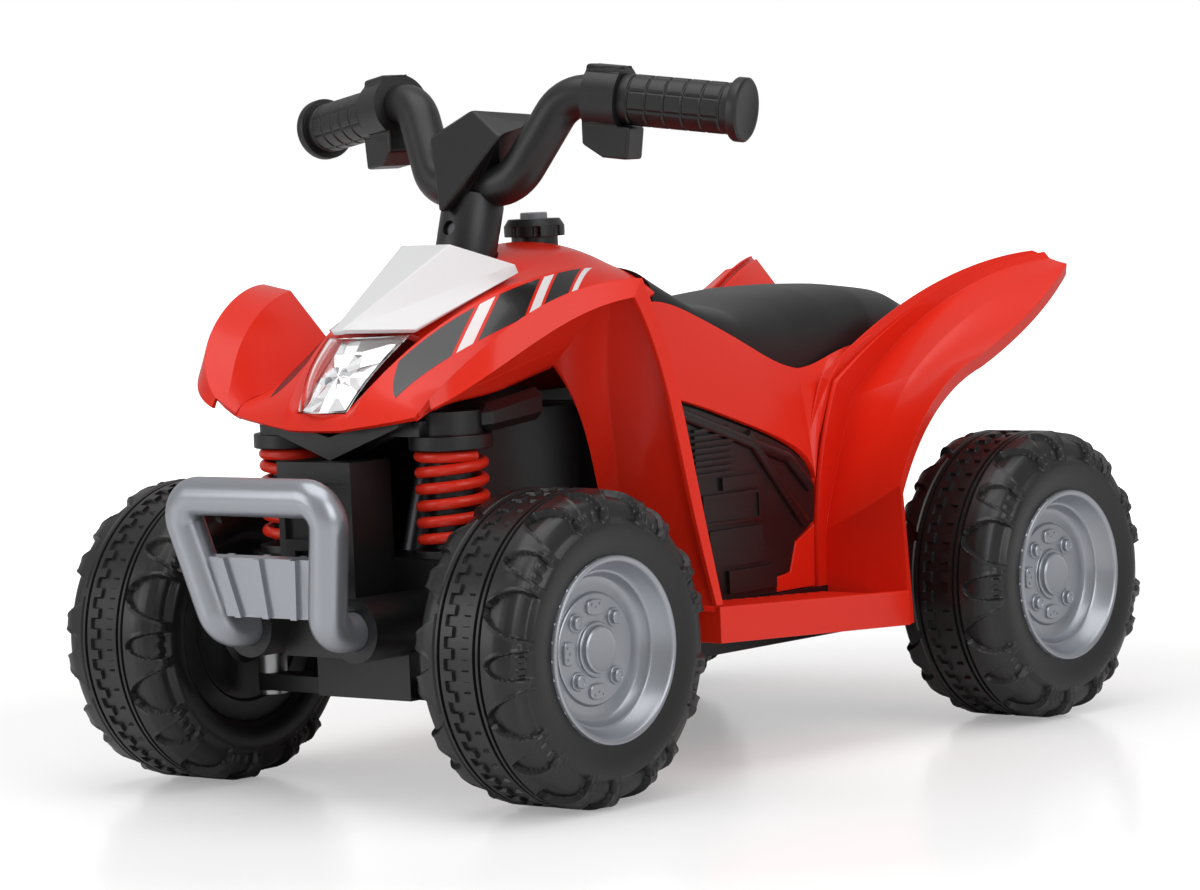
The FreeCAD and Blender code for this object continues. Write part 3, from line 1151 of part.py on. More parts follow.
def engine_cover():
    """The left black engine cover: plate with a tucked flange, fins, frame tubes, crankcase, bare plate."""
    outline = [flank_point(COVER_BACK, along, rise) for along, rise in COVER_SHARES]
    top = outline[1:COVER_TOP_COUNT]
    flange = prism([point - Z_AXIS * COVER_FLANGE for point in top]
                   + [point + Z_AXIS * COVER_FLANGE for point in top[::-1]], X_AXIS * (COVER_BACK - COVER_FACE))
    pieces = [flange]
    for index in range(FIN_COUNT):
        start = flank_point(COVER_FACE, *FIN_SHARES) + Z_AXIS * (index * FIN_PITCH)
        pieces.append(box(start, start + Vector(COVER_RELIEF, FIN_LENGTH, FIN_WIDTH)))
    for low, high in COVER_BLOCK_SHARES:
        pieces.append(box(flank_point(COVER_FACE, *low), flank_point(COVER_FACE + COVER_RELIEF, *high)))
    edge_tube = [flank_point(COVER_FACE, along, rise) for along, rise in COVER_TUBE_SHARES]
    brace = [flank_point(COVER_FACE, along, rise) for along, rise in COVER_BRACE_SHARES]
    pieces.append(bent_rod(edge_tube, COVER_TUBE_BEND, COVER_TUBE_RADIUS))
    pieces.append(rod(brace[0], brace[1] - brace[0], COVER_TUBE_RADIUS, (brace[1] - brace[0]).Length))
    plate_low, plate_high = [flank_point(COVER_FACE, along, rise) for along, rise in COVER_PLATE_SHARES]
    pieces.append(box(plate_low, plate_high + X_AXIS * COVER_RELIEF))
    rim = Vector(0, PLATE_BORDER, PLATE_BORDER)
    face = X_AXIS * (COVER_RELIEF - PLATE_SINK)
    sunk = box(plate_low + rim + face, plate_high - rim + X_AXIS * OVERRUN)
    behind = box((COVER_FACE - OVERRUN * 3, -HALF_BASE, AXLE_Z), (COVER_BACK, HALF_BASE, AXLE_Z + SHELL_RISE))
    cover = prism(outline, X_AXIS * (COVER_FACE - COVER_BACK)).fuse(pieces).cut(sunk)
    return cover.cut(behind.cut(flange)).removeSplitter()


def gusset():
    """The red strip between the engine cover and the rear shield."""
    return prism([flank_point(COVER_BACK, along, rise) for along, rise in GUSSET_SHARES],
                 X_AXIS * (COVER_FACE - COVER_BACK))


def tub_floor():
    return AXLE_Z - TUB_FLOOR + TUB_WALL


def battery():
    half = BATTERY_WIDTH / 2
    return box((-half, BATTERY_Y, tub_floor()), (half, BATTERY_Y + BATTERY_DEPTH, tub_floor() + BATTERY_HEIGHT))


def gearbox():
    """The closed gearbox round the rear axle."""
    start = Vector(-GEARBOX_OUTER, REAR_Y, AXLE_Z)
    drum = rod(start, X_AXIS, GEARBOX_RADIUS, GEARBOX_WIDTH)
    case = box((start.x, REAR_Y - GEARBOX_LENGTH, AXLE_Z - GEARBOX_RADIUS),
               (-GEARBOX_INNER, REAR_Y, AXLE_Z + GEARBOX_RADIUS))
    bore = rod(start - X_AXIS * OVERRUN, X_AXIS, AXLE_RADIUS, GEARBOX_WIDTH + 2 * OVERRUN)
    return drum.fuse(case).cut(bore).removeSplitter()


def motor():
    start = Vector(-GEARBOX_INNER, REAR_Y - GEARBOX_LENGTH + MOTOR_RADIUS, AXLE_Z)
    return rod(start, X_AXIS, MOTOR_RADIUS, MOTOR_LENGTH)


def rear_axle():
    reach = REAR_WHEEL_X - TYRE_WIDTH / 2 + HUB_END + AXLE_STICKOUT
    return rod(Vector(-reach, REAR_Y, AXLE_Z), X_AXIS, AXLE_RADIUS, 2 * reach)


def hub_inner_face():
    return REAR_WHEEL_X - TYRE_WIDTH / 2 + HUB_SETBACK


def drive_sleeve():
    """The toothless drive tube from the gearbox to the right rear wheel."""
    start = -hub_inner_face()
    length = hub_inner_face() - GEARBOX_OUTER - SEAT_GAP
    return tube(Vector(start, REAR_Y, AXLE_Z), X_AXIS, AXLE_RADIUS + SLEEVE_WALL, AXLE_RADIUS + RUNNING_FIT, length)


def axle_spacer():
    """The spacer between the tub and the left rear wheel."""
    length = hub_inner_face() - TUB_HALF_WIDTH - SEAT_GAP
    return tube(Vector(TUB_HALF_WIDTH, REAR_Y, AXLE_Z), X_AXIS, AXLE_RADIUS + SLEEVE_WALL, AXLE_RADIUS, length)


def build():
    """Every node's shape by name."""
    one_tyre, one_cap, one_nut = tyre(), hubcap(), axle_nut()
    corners = {"front_left": (FRONT_WHEEL_X, FRONT_Y), "front_right": (-FRONT_WHEEL_X, FRONT_Y),
               "rear_left": (REAR_WHEEL_X, REAR_Y), "rear_right": (-REAR_WHEEL_X, REAR_Y)}
    nodes = {}
    for corner, (x, y) in corners.items():
        nodes["tyre_" + corner] = placed(one_tyre, x, y)
        nodes["hubcap_" + corner] = placed(one_cap, x, y)
    nodes["axle_nut_front_left"] = placed(one_nut, FRONT_WHEEL_X, FRONT_Y)
    nodes["axle_nut_front_right"] = placed(one_nut, -FRONT_WHEEL_X, FRONT_Y)
    nodes["rear_axle_nuts"] = Part.makeCompound([placed(one_nut, x, REAR_Y) for x in (REAR_WHEEL_X, -REAR_WHEEL_X)])
    bar = handlebar()
    nodes.update({
        "chassis_frame": chassis_frame(), "axle_beam": axle_beam(), "kingpins": kingpins(),
        "front_frame": front_frame(), "bumper": bumper(), "tie_plate": tie_plate(),
        "steering_column": steering_column(), "column_tube": column_tube(), "handlebar": bar,
        "column_screw": column_screw(), "handlebar_pad": handlebar_pad(bar), "hood_cover": hood_cover(),
        "nose_panel": nose_panel(), "filler_cap": filler_cap(), "start_button": start_button(),
        "headlight_lens": lamp_sheet(LENS_SIDE_SHARES, LENS_CHEEK_SHARES, LENS_KEEL_SHARES, LENS_WALL),
        "headlight_reflector": lamp_sheet(
            REFLECTOR_SIDE_SHARES, REFLECTOR_CHEEK_SHARES, REFLECTOR_KEEL_SHARES, LENS_WALL),
        "tail_panel": tail_panel(), "seat": seat(), "battery": battery(), "gearbox": gearbox(),
        "motor": motor(), "rear_axle": rear_axle(), "drive_sleeve": drive_sleeve(), "axle_spacer": axle_spacer()})
    left_pieces = {
        "knuckle": knuckle(), "shock": shock_body(), "spring": spring(), "front_fender": front_fender(),
        "side_panel": side_panel(), "rear_fender": rear_fender(), "footboard": footboard(),
        "engine_cover": engine_cover(), "gusset": gusset(), "grip": grip(), "switch_housing": switch_housing()}
    for name, shape in left_pieces.items():
        nodes[name + "_left"] = shape
        nodes[name + "_right"] = mirrored(shape)
    nodes["horn_button"] = push_button()
    nodes["throttle_button"] = mirrored(push_button())
    return nodes


def main():
    os.makedirs("parts", exist_ok=True)
    nodes = build()
    whole = Part.makeCompound(list(nodes.values())).BoundBox
    shift = round(-whole.Center.y, 1)
    print("axles' middle lies", shift, "mm behind the origin")
    for name, shape in nodes.items():
        shape.translate(Y_AXIS * shift)
        shape.exportStep("parts/" + name + ".step")


main()
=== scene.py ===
# %% [markdown]
# A toddler's quad bike, dressed. The frame holds every part at its real size and place; this lesson gives
# each part the form, finish and light of the real one. A part gets its own piece wherever its outside
# needs more than the frame's plain solid, and a softened copy of the solid where that is enough.

# %% The frame and its box
import json
import math

import bmesh
import bpy
import numpy as np
from mathutils import Matrix, Vector


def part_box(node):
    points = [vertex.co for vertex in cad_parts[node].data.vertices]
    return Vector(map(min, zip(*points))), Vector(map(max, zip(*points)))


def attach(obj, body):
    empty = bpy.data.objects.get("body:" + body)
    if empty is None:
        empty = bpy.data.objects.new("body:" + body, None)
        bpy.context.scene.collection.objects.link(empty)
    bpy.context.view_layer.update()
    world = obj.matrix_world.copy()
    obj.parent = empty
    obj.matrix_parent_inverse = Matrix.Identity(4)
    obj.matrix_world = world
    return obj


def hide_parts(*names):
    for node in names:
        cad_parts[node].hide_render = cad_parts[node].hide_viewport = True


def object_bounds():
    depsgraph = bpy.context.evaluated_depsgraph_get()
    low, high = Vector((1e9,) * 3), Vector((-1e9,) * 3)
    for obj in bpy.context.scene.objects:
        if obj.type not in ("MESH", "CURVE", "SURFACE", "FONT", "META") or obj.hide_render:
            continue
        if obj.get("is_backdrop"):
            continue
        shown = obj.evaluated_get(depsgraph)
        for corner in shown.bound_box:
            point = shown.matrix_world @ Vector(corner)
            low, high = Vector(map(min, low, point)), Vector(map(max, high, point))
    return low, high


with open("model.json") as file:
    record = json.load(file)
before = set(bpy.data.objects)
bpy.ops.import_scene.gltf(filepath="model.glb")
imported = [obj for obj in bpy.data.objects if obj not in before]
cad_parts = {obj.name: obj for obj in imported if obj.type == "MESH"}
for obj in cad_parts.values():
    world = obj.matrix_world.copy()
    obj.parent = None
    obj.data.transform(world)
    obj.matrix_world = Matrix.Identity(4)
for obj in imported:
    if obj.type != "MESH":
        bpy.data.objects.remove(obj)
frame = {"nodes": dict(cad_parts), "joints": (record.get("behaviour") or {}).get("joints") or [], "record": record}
cad_low, cad_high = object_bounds()
MM = 0.001
print("frame box", [round(v, 4) for v in cad_low], [round(v, 4) for v in cad_high])

# %% [markdown]
# The camera comes first, so that every later step can be looked at from the place where the photograph
# was taken: low, in front of the left wheel, through a long lens. The horizon leans a little, as it did
# there. A camera could be aimed by a constraint; its three axes are worked out here from two angles and a
# lean instead, because one matrix leaves nothing to solve later.

# %% Camera
VIEW_AZIMUTH = math.radians(40.378)
VIEW_HEIGHT = math.radians(3.941)
VIEW_ROLL = math.radians(-2.468)
VIEW_DISTANCE = 2.87504
VIEW_TARGET = Vector((-0.0263, 0.0328, 0.1895))
PHOTO_WIDTH = 1200
FOCAL_PIXELS = 4451.27
SENSOR_WIDTH = 36
FARTHEST = 50

to_front = -math.cos(VIEW_AZIMUTH) * math.cos(VIEW_HEIGHT)
back = Vector((math.sin(VIEW_AZIMUTH) * math.cos(VIEW_HEIGHT), to_front, math.sin(VIEW_HEIGHT)))
level = Vector((math.cos(VIEW_AZIMUTH), math.sin(VIEW_AZIMUTH), 0))
upright = back.cross(level)
right = level * math.cos(VIEW_ROLL) + upright * math.sin(VIEW_ROLL)
upward = upright * math.cos(VIEW_ROLL) - level * math.sin(VIEW_ROLL)
axes = Matrix((right, upward, back)).transposed().to_4x4()
camera = bpy.data.objects.new("camera", bpy.data.cameras.new("camera"))
camera.data.sensor_width = SENSOR_WIDTH
camera.data.lens = FOCAL_PIXELS / PHOTO_WIDTH * SENSOR_WIDTH
camera.data.clip_end = FARTHEST
camera.matrix_world = Matrix.Translation(VIEW_TARGET + back * VIEW_DISTANCE) @ axes
bpy.context.scene.collection.objects.link(camera)
bpy.context.scene.camera = camera
print("lens", round(camera.data.lens, 1), "mm")

# %% [markdown]
# The set is a white table under soft light, as in a catalogue picture. The floor is slightly glossy, so
# the wheels mirror in it. A lit floor alone would end in a grey edge, so to the camera it also glows, the
# more the farther it lies, until it is as white as the world behind it.

# %% Floor
FLOOR_HALF = 12.0
FLOOR_GREY = 0.93
FLOOR_ROUGHNESS = 0.18
FLOOR_SPECULAR = 0.35
FLOOR_GLOW = {"From Min": 0.5, "From Max": 1.8, "To Min": 0.30, "To Max": 1.0}


def new_material(name):
    """A material, its node tree and its surface shader."""
    material = bpy.data.materials.new(name)
    material.use_nodes = True
    return material, material.node_tree, material.node_tree.nodes["Principled BSDF"]


def math_node(tree, operation):
    """A node that works out one sum."""
    node = tree.nodes.new("ShaderNodeMath")
    node.operation = operation
    return node


corners = [(x * FLOOR_HALF, y * FLOOR_HALF, 0) for x, y in ((-1, -1), (1, -1), (1, 1), (-1, 1))]
floor_mesh = bpy.data.meshes.new("floor")
floor_mesh.from_pydata(corners, [], [(0, 1, 2, 3)])
floor = bpy.data.objects.new("floor", floor_mesh)
bpy.context.scene.collection.objects.link(floor)
floor_look, tree, shader = new_material("floor")
shader.inputs["Base Color"].default_value = (FLOOR_GREY, FLOOR_GREY, FLOOR_GREY, 1)
shader.inputs["Roughness"].default_value = FLOOR_ROUGHNESS
shader.inputs["Specular IOR Level"].default_value = FLOOR_SPECULAR
shader.inputs["Emission Color"].default_value = (1, 1, 1, 1)
place = tree.nodes.new("ShaderNodeTexCoord")
reach = tree.nodes.new("ShaderNodeVectorMath")
reach.operation = "LENGTH"
glow = tree.nodes.new("ShaderNodeMapRange")
for label, value in FLOOR_GLOW.items():
    glow.inputs[label].default_value = value
path = tree.nodes.new("ShaderNodeLightPath")
only_seen = math_node(tree, "MULTIPLY")
tree.links.new(place.outputs["Object"], reach.inputs[0])
tree.links.new(reach.outputs["Value"], glow.inputs["Value"])
tree.links.new(glow.outputs["Result"], only_seen.inputs[0])
tree.links.new(path.outputs["Is Camera Ray"], only_seen.inputs[1])
tree.links.new(only_seen.outputs[0], shader.inputs["Emission Strength"])
floor_mesh.materials.append(floor_look)
floor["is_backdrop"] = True
print("floor", 2 * FLOOR_HALF, "m across")

# %% [markdown]
# The world behind the floor is plain white. It has its full strength where the camera looks, also through
# the clear lens, and is dimmer as a light, so that the shell keeps its own colours. One background could
# not be both, so the kind of ray chooses the strength.

# %% World
WORLD_LIGHT = 0.45
world = bpy.data.worlds.new("studio")
bpy.context.scene.world = world
world.use_nodes = True
tree = world.node_tree
path = tree.nodes.new("ShaderNodeLightPath")
seen = math_node(tree, "MAXIMUM")
bright = tree.nodes.new("ShaderNodeMapRange")
bright.inputs["To Min"].default_value = WORLD_LIGHT
bright.inputs["To Max"].default_value = 1.0
tree.links.new(path.outputs["Is Camera Ray"], seen.inputs[0])
tree.links.new(path.outputs["Is Transmission Ray"], seen.inputs[1])
tree.links.new(seen.outputs[0], bright.inputs["Value"])
tree.links.new(bright.outputs["Result"], tree.nodes["Background"].inputs["Strength"])
tree.nodes["Background"].inputs["Color"].default_value = (1, 1, 1, 1)
print("world light", WORLD_LIGHT)

# %% [markdown]
# Three large soft boxes light the bike: one overhead, one on the side that the camera sees, one before
# the nose. Small lamps would draw hard spots; large ones give the broad, soft-edged highlights that show
# the folds of a moulded shell.

# %% Lamps
LAMP_AIM = Vector((0, 0, 0.2))
# Place, size and watts of each lamp.
LAMPS = {"top_box": ((0.2, -0.3, 2.2), (2.2, 2.2), 26), "left_box": ((2.1, -0.6, 1.2), (1.4, 1.6), 16),
         "front_box": ((-1.2, -2.2, 0.9), (1.4, 1.4), 12)}
for name, (place, size, power) in LAMPS.items():
    lamp = bpy.data.objects.new(name, bpy.data.lights.new(name, "AREA"))
    lamp.data.shape = "RECTANGLE"
    lamp.data.size, lamp.data.size_y = size
    lamp.data.energy = power
    aim = (LAMP_AIM - Vector(place)).to_track_quat("-Z", "Y")
    lamp.matrix_world = Matrix.Translation(place) @ aim.to_matrix().to_4x4()
    bpy.context.scene.collection.objects.link(lamp)
bpy.context.scene.view_settings.view_transform = "Standard"
print("lamps", list(LAMPS))

# %% [markdown]
# Finishes. Moulded plastic is never one flat colour: its skin has a fine grain from the mould, and its
# gloss varies a little where hands and cloths have been. Painted maps could show both, but would need
# unwrapped meshes; noise in Object coordinates needs none. Each effect is a shader group that the
# plastics share. The grain comes first: noise that tilts the surface a little.

# %% Mould grain
GRAIN_DETAIL = 3
GRAIN_BUMP = 0.4 * MM


def new_group(name, inputs, outputs):
    """An empty shader group with named sockets, and its inlet and outlet nodes."""
    group = bpy.data.node_groups.new(name, "ShaderNodeTree")
    for label, kind, value in inputs:
        socket = group.interface.new_socket(label, in_out="INPUT", socket_type=kind)
        socket.default_value = value
    for label, kind in outputs:
        group.interface.new_socket(label, in_out="OUTPUT", socket_type=kind)
    return group, group.nodes.new("NodeGroupInput"), group.nodes.new("NodeGroupOutput")


def noise_node(group, inlet, detail):
    """Noise in Object coordinates at the group's own scale."""
    place = group.nodes.new("ShaderNodeTexCoord")
    noise = group.nodes.new("ShaderNodeTexNoise")
    noise.inputs["Detail"].default_value = detail
    group.links.new(place.outputs["Object"], noise.inputs["Vector"])
    group.links.new(inlet.outputs["Scale"], noise.inputs["Scale"])
    return noise


def mould_grain_group():
    """Noise of a given scale as a bump normal: the eroded skin of an injection mould."""
    group, inlet, outlet = new_group(
        "mould_grain", [("Scale", "NodeSocketFloat", 900.0), ("Height", "NodeSocketFloat", 0.1)],
        [("Normal", "NodeSocketVector")])
    noise = noise_node(group, inlet, GRAIN_DETAIL)
    bump = group.nodes.new("ShaderNodeBump")
    bump.inputs["Distance"].default_value = GRAIN_BUMP
    group.links.new(noise.outputs["Fac"], bump.inputs["Height"])
    group.links.new(inlet.outputs["Height"], bump.inputs["Strength"])
    group.links.new(bump.outputs["Normal"], outlet.inputs["Normal"])
    return group


MOULD_GRAIN = mould_grain_group()
print("group", MOULD_GRAIN.name)

# %% [markdown]
# The second group moves gloss and colour together by slow noise: where a hand has polished the plastic it
# is a little smoother and a little darker. The noise is taken round its middle, so the finish keeps its
# mean values.

# %% Handled gloss
GLOSS_DETAIL = 4
NOISE_MIDDLE = 0.5


def handled_gloss_group():
    """With s = spread * (noise - middle): roughness + s, and the colour's brightness times 1 + s."""
    group, inlet, outlet = new_group(
        "handled_gloss",
        [("Color", "NodeSocketColor", (0.5, 0.5, 0.5, 1)), ("Roughness", "NodeSocketFloat", 0.4),
         ("Spread", "NodeSocketFloat", 0.06), ("Scale", "NodeSocketFloat", 18.0)],
        [("Color", "NodeSocketColor"), ("Roughness", "NodeSocketFloat")])
    noise = noise_node(group, inlet, GLOSS_DETAIL)
    swing = math_node(group, "SUBTRACT")
    swing.inputs[1].default_value = NOISE_MIDDLE
    part = math_node(group, "MULTIPLY")
    total = math_node(group, "ADD")
    lift = math_node(group, "ADD")
    lift.inputs[1].default_value = 1.0
    tone = group.nodes.new("ShaderNodeHueSaturation")
    group.links.new(noise.outputs["Fac"], swing.inputs[0])
    group.links.new(swing.outputs[0], part.inputs[0])
    group.links.new(inlet.outputs["Spread"], part.inputs[1])
    group.links.new(part.outputs[0], total.inputs[0])
    group.links.new(inlet.outputs["Roughness"], total.inputs[1])
    group.links.new(part.outputs[0], lift.inputs[0])
    group.links.new(lift.outputs[0], tone.inputs["Value"])
    group.links.new(inlet.outputs["Color"], tone.inputs["Color"])
    group.links.new(tone.outputs["Color"], outlet.inputs["Color"])
    group.links.new(total.outputs[0], outlet.inputs["Roughness"])
    return group


HANDLED_GLOSS = handled_gloss_group()
print("group", HANDLED_GLOSS.name)

# %% [markdown]
# Each finish is the same recipe with its own values: colour, roughness and its spread, the grain's scale
# and height, and where the real piece has them a clear coat, metal flakes or less sheen. The red is a
# gloss moulding, the silver a lacquer with flakes, the blacks are satin, and steel and reflector are all
# metal.

# %% Plastics and metals
COAT_ROUGHNESS = 0.06


def add_grain(tree, shader, scale, height):
    """Tilts a shader's normal by the mould grain."""
    grain = tree.nodes.new("ShaderNodeGroup")
    grain.node_tree = MOULD_GRAIN
    grain.inputs["Scale"].default_value = scale
    grain.inputs["Height"].default_value = height
    tree.links.new(grain.outputs["Normal"], shader.inputs["Normal"])


def plastic(name, colour, roughness, spread, grain, coat=0.0, metallic=0.0, specular=0.5):
    """A moulded plastic: handled gloss over a mould grain of (scale, height), with an optional clear coat."""
    material, tree, shader = new_material(name)
    gloss = tree.nodes.new("ShaderNodeGroup")
    gloss.node_tree = HANDLED_GLOSS
    gloss.inputs["Color"].default_value = (*colour, 1)
    gloss.inputs["Roughness"].default_value = roughness
    gloss.inputs["Spread"].default_value = spread
    tree.links.new(gloss.outputs["Color"], shader.inputs["Base Color"])
    tree.links.new(gloss.outputs["Roughness"], shader.inputs["Roughness"])
    add_grain(tree, shader, *grain)
    shader.inputs["Coat Weight"].default_value = coat
    shader.inputs["Coat Roughness"].default_value = COAT_ROUGHNESS
    shader.inputs["Metallic"].default_value = metallic
    shader.inputs["Specular IOR Level"].default_value = specular
    return material


RED = plastic("red_gloss", (0.74, 0.022, 0.008), roughness=0.26, spread=0.05, grain=(700, 0.03),
              coat=0.10, specular=0.24)
SPRING_RED = plastic("spring_red", (0.74, 0.028, 0.011), roughness=0.30, spread=0.05, grain=(700, 0.05),
                     coat=0.1, specular=0.3)
WHITE = plastic("nose_white", (0.70, 0.70, 0.71), roughness=0.24, spread=0.05, grain=(700, 0.03), coat=0.25)
BLACK = plastic("grained_black", (0.0075, 0.0075, 0.008), roughness=0.36, spread=0.10, grain=(1400, 0.35))
GRIP_BLACK = plastic("grip_black", (0.0070, 0.0070, 0.0075), roughness=0.38, spread=0.10, grain=(1600, 0.30))
SEAT_BLACK = plastic("seat_black", (0.0080, 0.0080, 0.0085), roughness=0.40, spread=0.08, grain=(1800, 0.30),
                     specular=0.42)
TYRE_BLACK = plastic("tyre_black", (0.0080, 0.0080, 0.0085), roughness=0.34, spread=0.10, grain=(1100, 0.22))
SILVER = plastic("silver_lacquer", (0.36, 0.375, 0.41), roughness=0.32, spread=0.06, grain=(1500, 0.10),
                 coat=0.2, metallic=0.75)
BUTTON_GREY = plastic("button_grey", (0.30, 0.31, 0.32), roughness=0.40, spread=0.06, grain=(1200, 0.15))
STEEL = plastic("zinc_steel", (0.42, 0.42, 0.43), roughness=0.34, spread=0.12, grain=(2600, 0.12),
                metallic=1.0)
DARK_STEEL = plastic("dark_steel", (0.10, 0.10, 0.11), roughness=0.38, spread=0.10, grain=(2600, 0.12),
                     metallic=1.0)
CASE = plastic("battery_case", (0.045, 0.045, 0.05), roughness=0.55, spread=0.06, grain=(1200, 0.2))
STICKER_BLACK = plastic("stripe_black", (0.014, 0.014, 0.015), roughness=0.22, spread=0.04, grain=(700, 0.02),
                        coat=0.2)
STICKER_WHITE = plastic("stripe_white", (0.80, 0.80, 0.80), roughness=0.22, spread=0.04, grain=(700, 0.02),
                        coat=0.2)
REFLECTOR = plastic("bright_reflector", (0.80, 0.80, 0.81), roughness=0.10, spread=0.04, grain=(500, 0.02),
                    metallic=1.0)
print("finishes", len(bpy.data.materials))

# %% [markdown]
# The headlight's lens is clear plastic, so it bends light instead of mixing two colours. The coarse grain
# stands for the slight ripple of a moulded lens.

# %% Clear lens
LENS_ROUGHNESS = 0.02
LENS_BENDING = 1.45
LENS_RIPPLE = (160, 0.04)
LENS, tree, shader = new_material("clear_lens")
shader.inputs["Base Color"].default_value = (1, 1, 1, 1)
shader.inputs["Roughness"].default_value = LENS_ROUGHNESS
shader.inputs["IOR"].default_value = LENS_BENDING
shader.inputs["Transmission Weight"].default_value = 1.0
add_grain(tree, shader, *LENS_RIPPLE)
print("finishes", len(bpy.data.materials))

# %% [markdown]
# Tools. A piece is a grid of points from a function of two parameters, or several grids whose edges meet.
# Points and faces could be added one by one; whole arrays are handed to the mesh at once here, which is
# far quicker. Doubled points along the seams are then merged, so that the piece is closed, and its faces
# are turned outward.

# %% Grids into meshes
SEAM_GAP = 1e-6
LEAST_EDGE = 1e-7


def mesh_piece(name, points, quads):
    """An object from point and quad arrays, its points kept inside the frame's box."""
    points = np.clip(points, cad_low, cad_high)
    mesh = bpy.data.meshes.new(name)
    mesh.vertices.add(len(points))
    mesh.vertices.foreach_set("co", np.asarray(points, np.float32).ravel())
    mesh.loops.add(quads.size)
    mesh.loops.foreach_set("vertex_index", np.asarray(quads, np.int32).ravel())
    mesh.polygons.add(len(quads))
    mesh.polygons.foreach_set("loop_start", np.arange(0, quads.size, 4, dtype=np.int32))
    mesh.update(calc_edges=True)
    piece = bpy.data.objects.new(name, mesh)
    bpy.context.scene.collection.objects.link(piece)
    return piece


def grid_quads(rows, columns, wrap_rows, wrap_columns, start):
    """Corner numbers of the quads of a grid of points: number = row * columns + column."""
    row = np.arange(rows if wrap_rows else rows - 1)[:, None]
    column = np.arange(columns if wrap_columns else columns - 1)[None, :]
    next_row, next_column = (row + 1) % rows, (column + 1) % columns
    quads = [row * columns + column, row * columns + next_column, next_row * columns + next_column,
             next_row * columns + column]
    return np.stack([q + 0 * row + 0 * column for q in quads], -1).reshape(-1, 4) + start


def weld(piece):
    """Merges doubled points, drops faces with no area and turns faces outward."""
    work = bmesh.new()
    work.from_mesh(piece.data)
    bmesh.ops.remove_doubles(work, verts=work.verts, dist=SEAM_GAP)
    bmesh.ops.dissolve_degenerate(work, dist=LEAST_EDGE, edges=work.edges)
    bmesh.ops.recalc_face_normals(work, faces=work.faces)
    work.to_mesh(piece.data)
    work.free()
    return piece


def joined(name, grids):
    """One object from several grids, each given as (points, wrap rows, wrap columns)."""
    points, quads, start = [], [], 0
    for cloud, wrap_rows, wrap_columns in grids:
        quads.append(grid_quads(*cloud.shape[:2], wrap_rows, wrap_columns, start))
        points.append(cloud.reshape(-1, 3))
        start += len(points[-1])
    return weld(mesh_piece(name, np.concatenate(points), np.concatenate(quads)))


print("seams close within", SEAM_GAP, "m")

# %% [markdown]
# Handing over. Every piece gets its finish and is shaded smooth, except across edges sharper than an
# angle that suits it. Then it is set on the moving body that it rides on, and the plain parts that it
# stands for are hidden.

# %% Finish and hand over
def finish_piece(piece, body, nodes, material, sharp):
    """Shades a piece smooth up to an angle in degrees, gives it its finish and hands it to its body."""
    piece.data.materials.append(material)
    piece.data.polygons.foreach_set("use_smooth", np.ones(len(piece.data.polygons), bool))
    piece.data.set_sharp_from_angle(angle=math.radians(sharp))
    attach(piece, body)
    if nodes:
        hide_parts(*nodes)
    return piece


print("frame parts to dress", len(frame["nodes"]))

# %% [markdown]
# Shell points. The red shell of the real toy is a few large mouldings with soft crowns between crisp
# folds. It is given by rows of poles, as shares of its half width, of half the wheelbase and of its rise
# over the axles, the same rows that the solid panels use. So a point reads as a place on the bike, and
# dress and solid agree.

# %% Shell scale
front_low, front_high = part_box("tyre_front_left")
rear_low, rear_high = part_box("tyre_rear_left")
AXLE_Z = (front_high.z + front_low.z) / 2
HALF_BASE = (rear_high.y + rear_low.y - front_high.y - front_low.y) / 4
MIDDLE_Y = (rear_high.y + rear_low.y + front_high.y + front_low.y) / 4
SHELL_HALF_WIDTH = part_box("footboard_left")[1].x
SHELL_RISE = 237 * MM
SHELL_WALL = 3 * MM
SHELL_SHARP = 50
KEPT = (1, 1, 1)
MIRRORED = (-1, 1, 1)
SIDES = {"left": KEPT, "right": MIRRORED}


def shell(rows):
    """Points in metres from rows of shares: share * scale + the middle between the axles."""
    return np.asarray(rows, float) * (SHELL_HALF_WIDTH, HALF_BASE, SHELL_RISE) + (0, MIDDLE_Y, AXLE_Z)


def both_sides(rows):
    """Rows from the left edge to the middle, carried on to the right edge."""
    half = shell(rows)
    return np.concatenate([half, half[-2::-1] * MIRRORED])


print("half base", round(HALF_BASE, 4), "half width", round(SHELL_HALF_WIDTH, 4))

# %% [markdown]
# A panel is a spline sheet over its rows of poles, smooth between crease rows and fold columns.
# Subdivision of a coarse cage could give much the same, but splines let the dress follow the solid's own
# surface exactly, and a break in the spline is a crisp fold where it is wanted.

# %% Smooth sheets
LEAST_SAMPLES = 6
ON_BREAK = 1 - 1e-6
PAST_END = 1e-9


def basis(count, degree, places):
    """Weights of the poles of a clamped even spline at places from 0 to 1, by the usual recursion."""
    spans = count - degree
    knots = np.concatenate([np.zeros(degree), np.arange(spans + 1), np.full(degree, spans)])
    place = np.minimum(np.asarray(places, float) * spans, spans - PAST_END)[:, None]
    weights = ((knots[:-1] <= place) & (place < knots[1:])).astype(float)
    for order in range(1, degree + 1):
        rise, fall = knots[order:-1] - knots[:-order - 1], knots[order + 1:] - knots[1:-order]
        up = np.where(rise > 0, (place - knots[:-order - 1]) / np.where(rise > 0, rise, 1), 0)
        down = np.where(fall > 0, (knots[order + 1:] - place) / np.where(fall > 0, fall, 1), 0)
        weights = up * weights[:, :-1] + down * weights[:, 1:]
    return weights


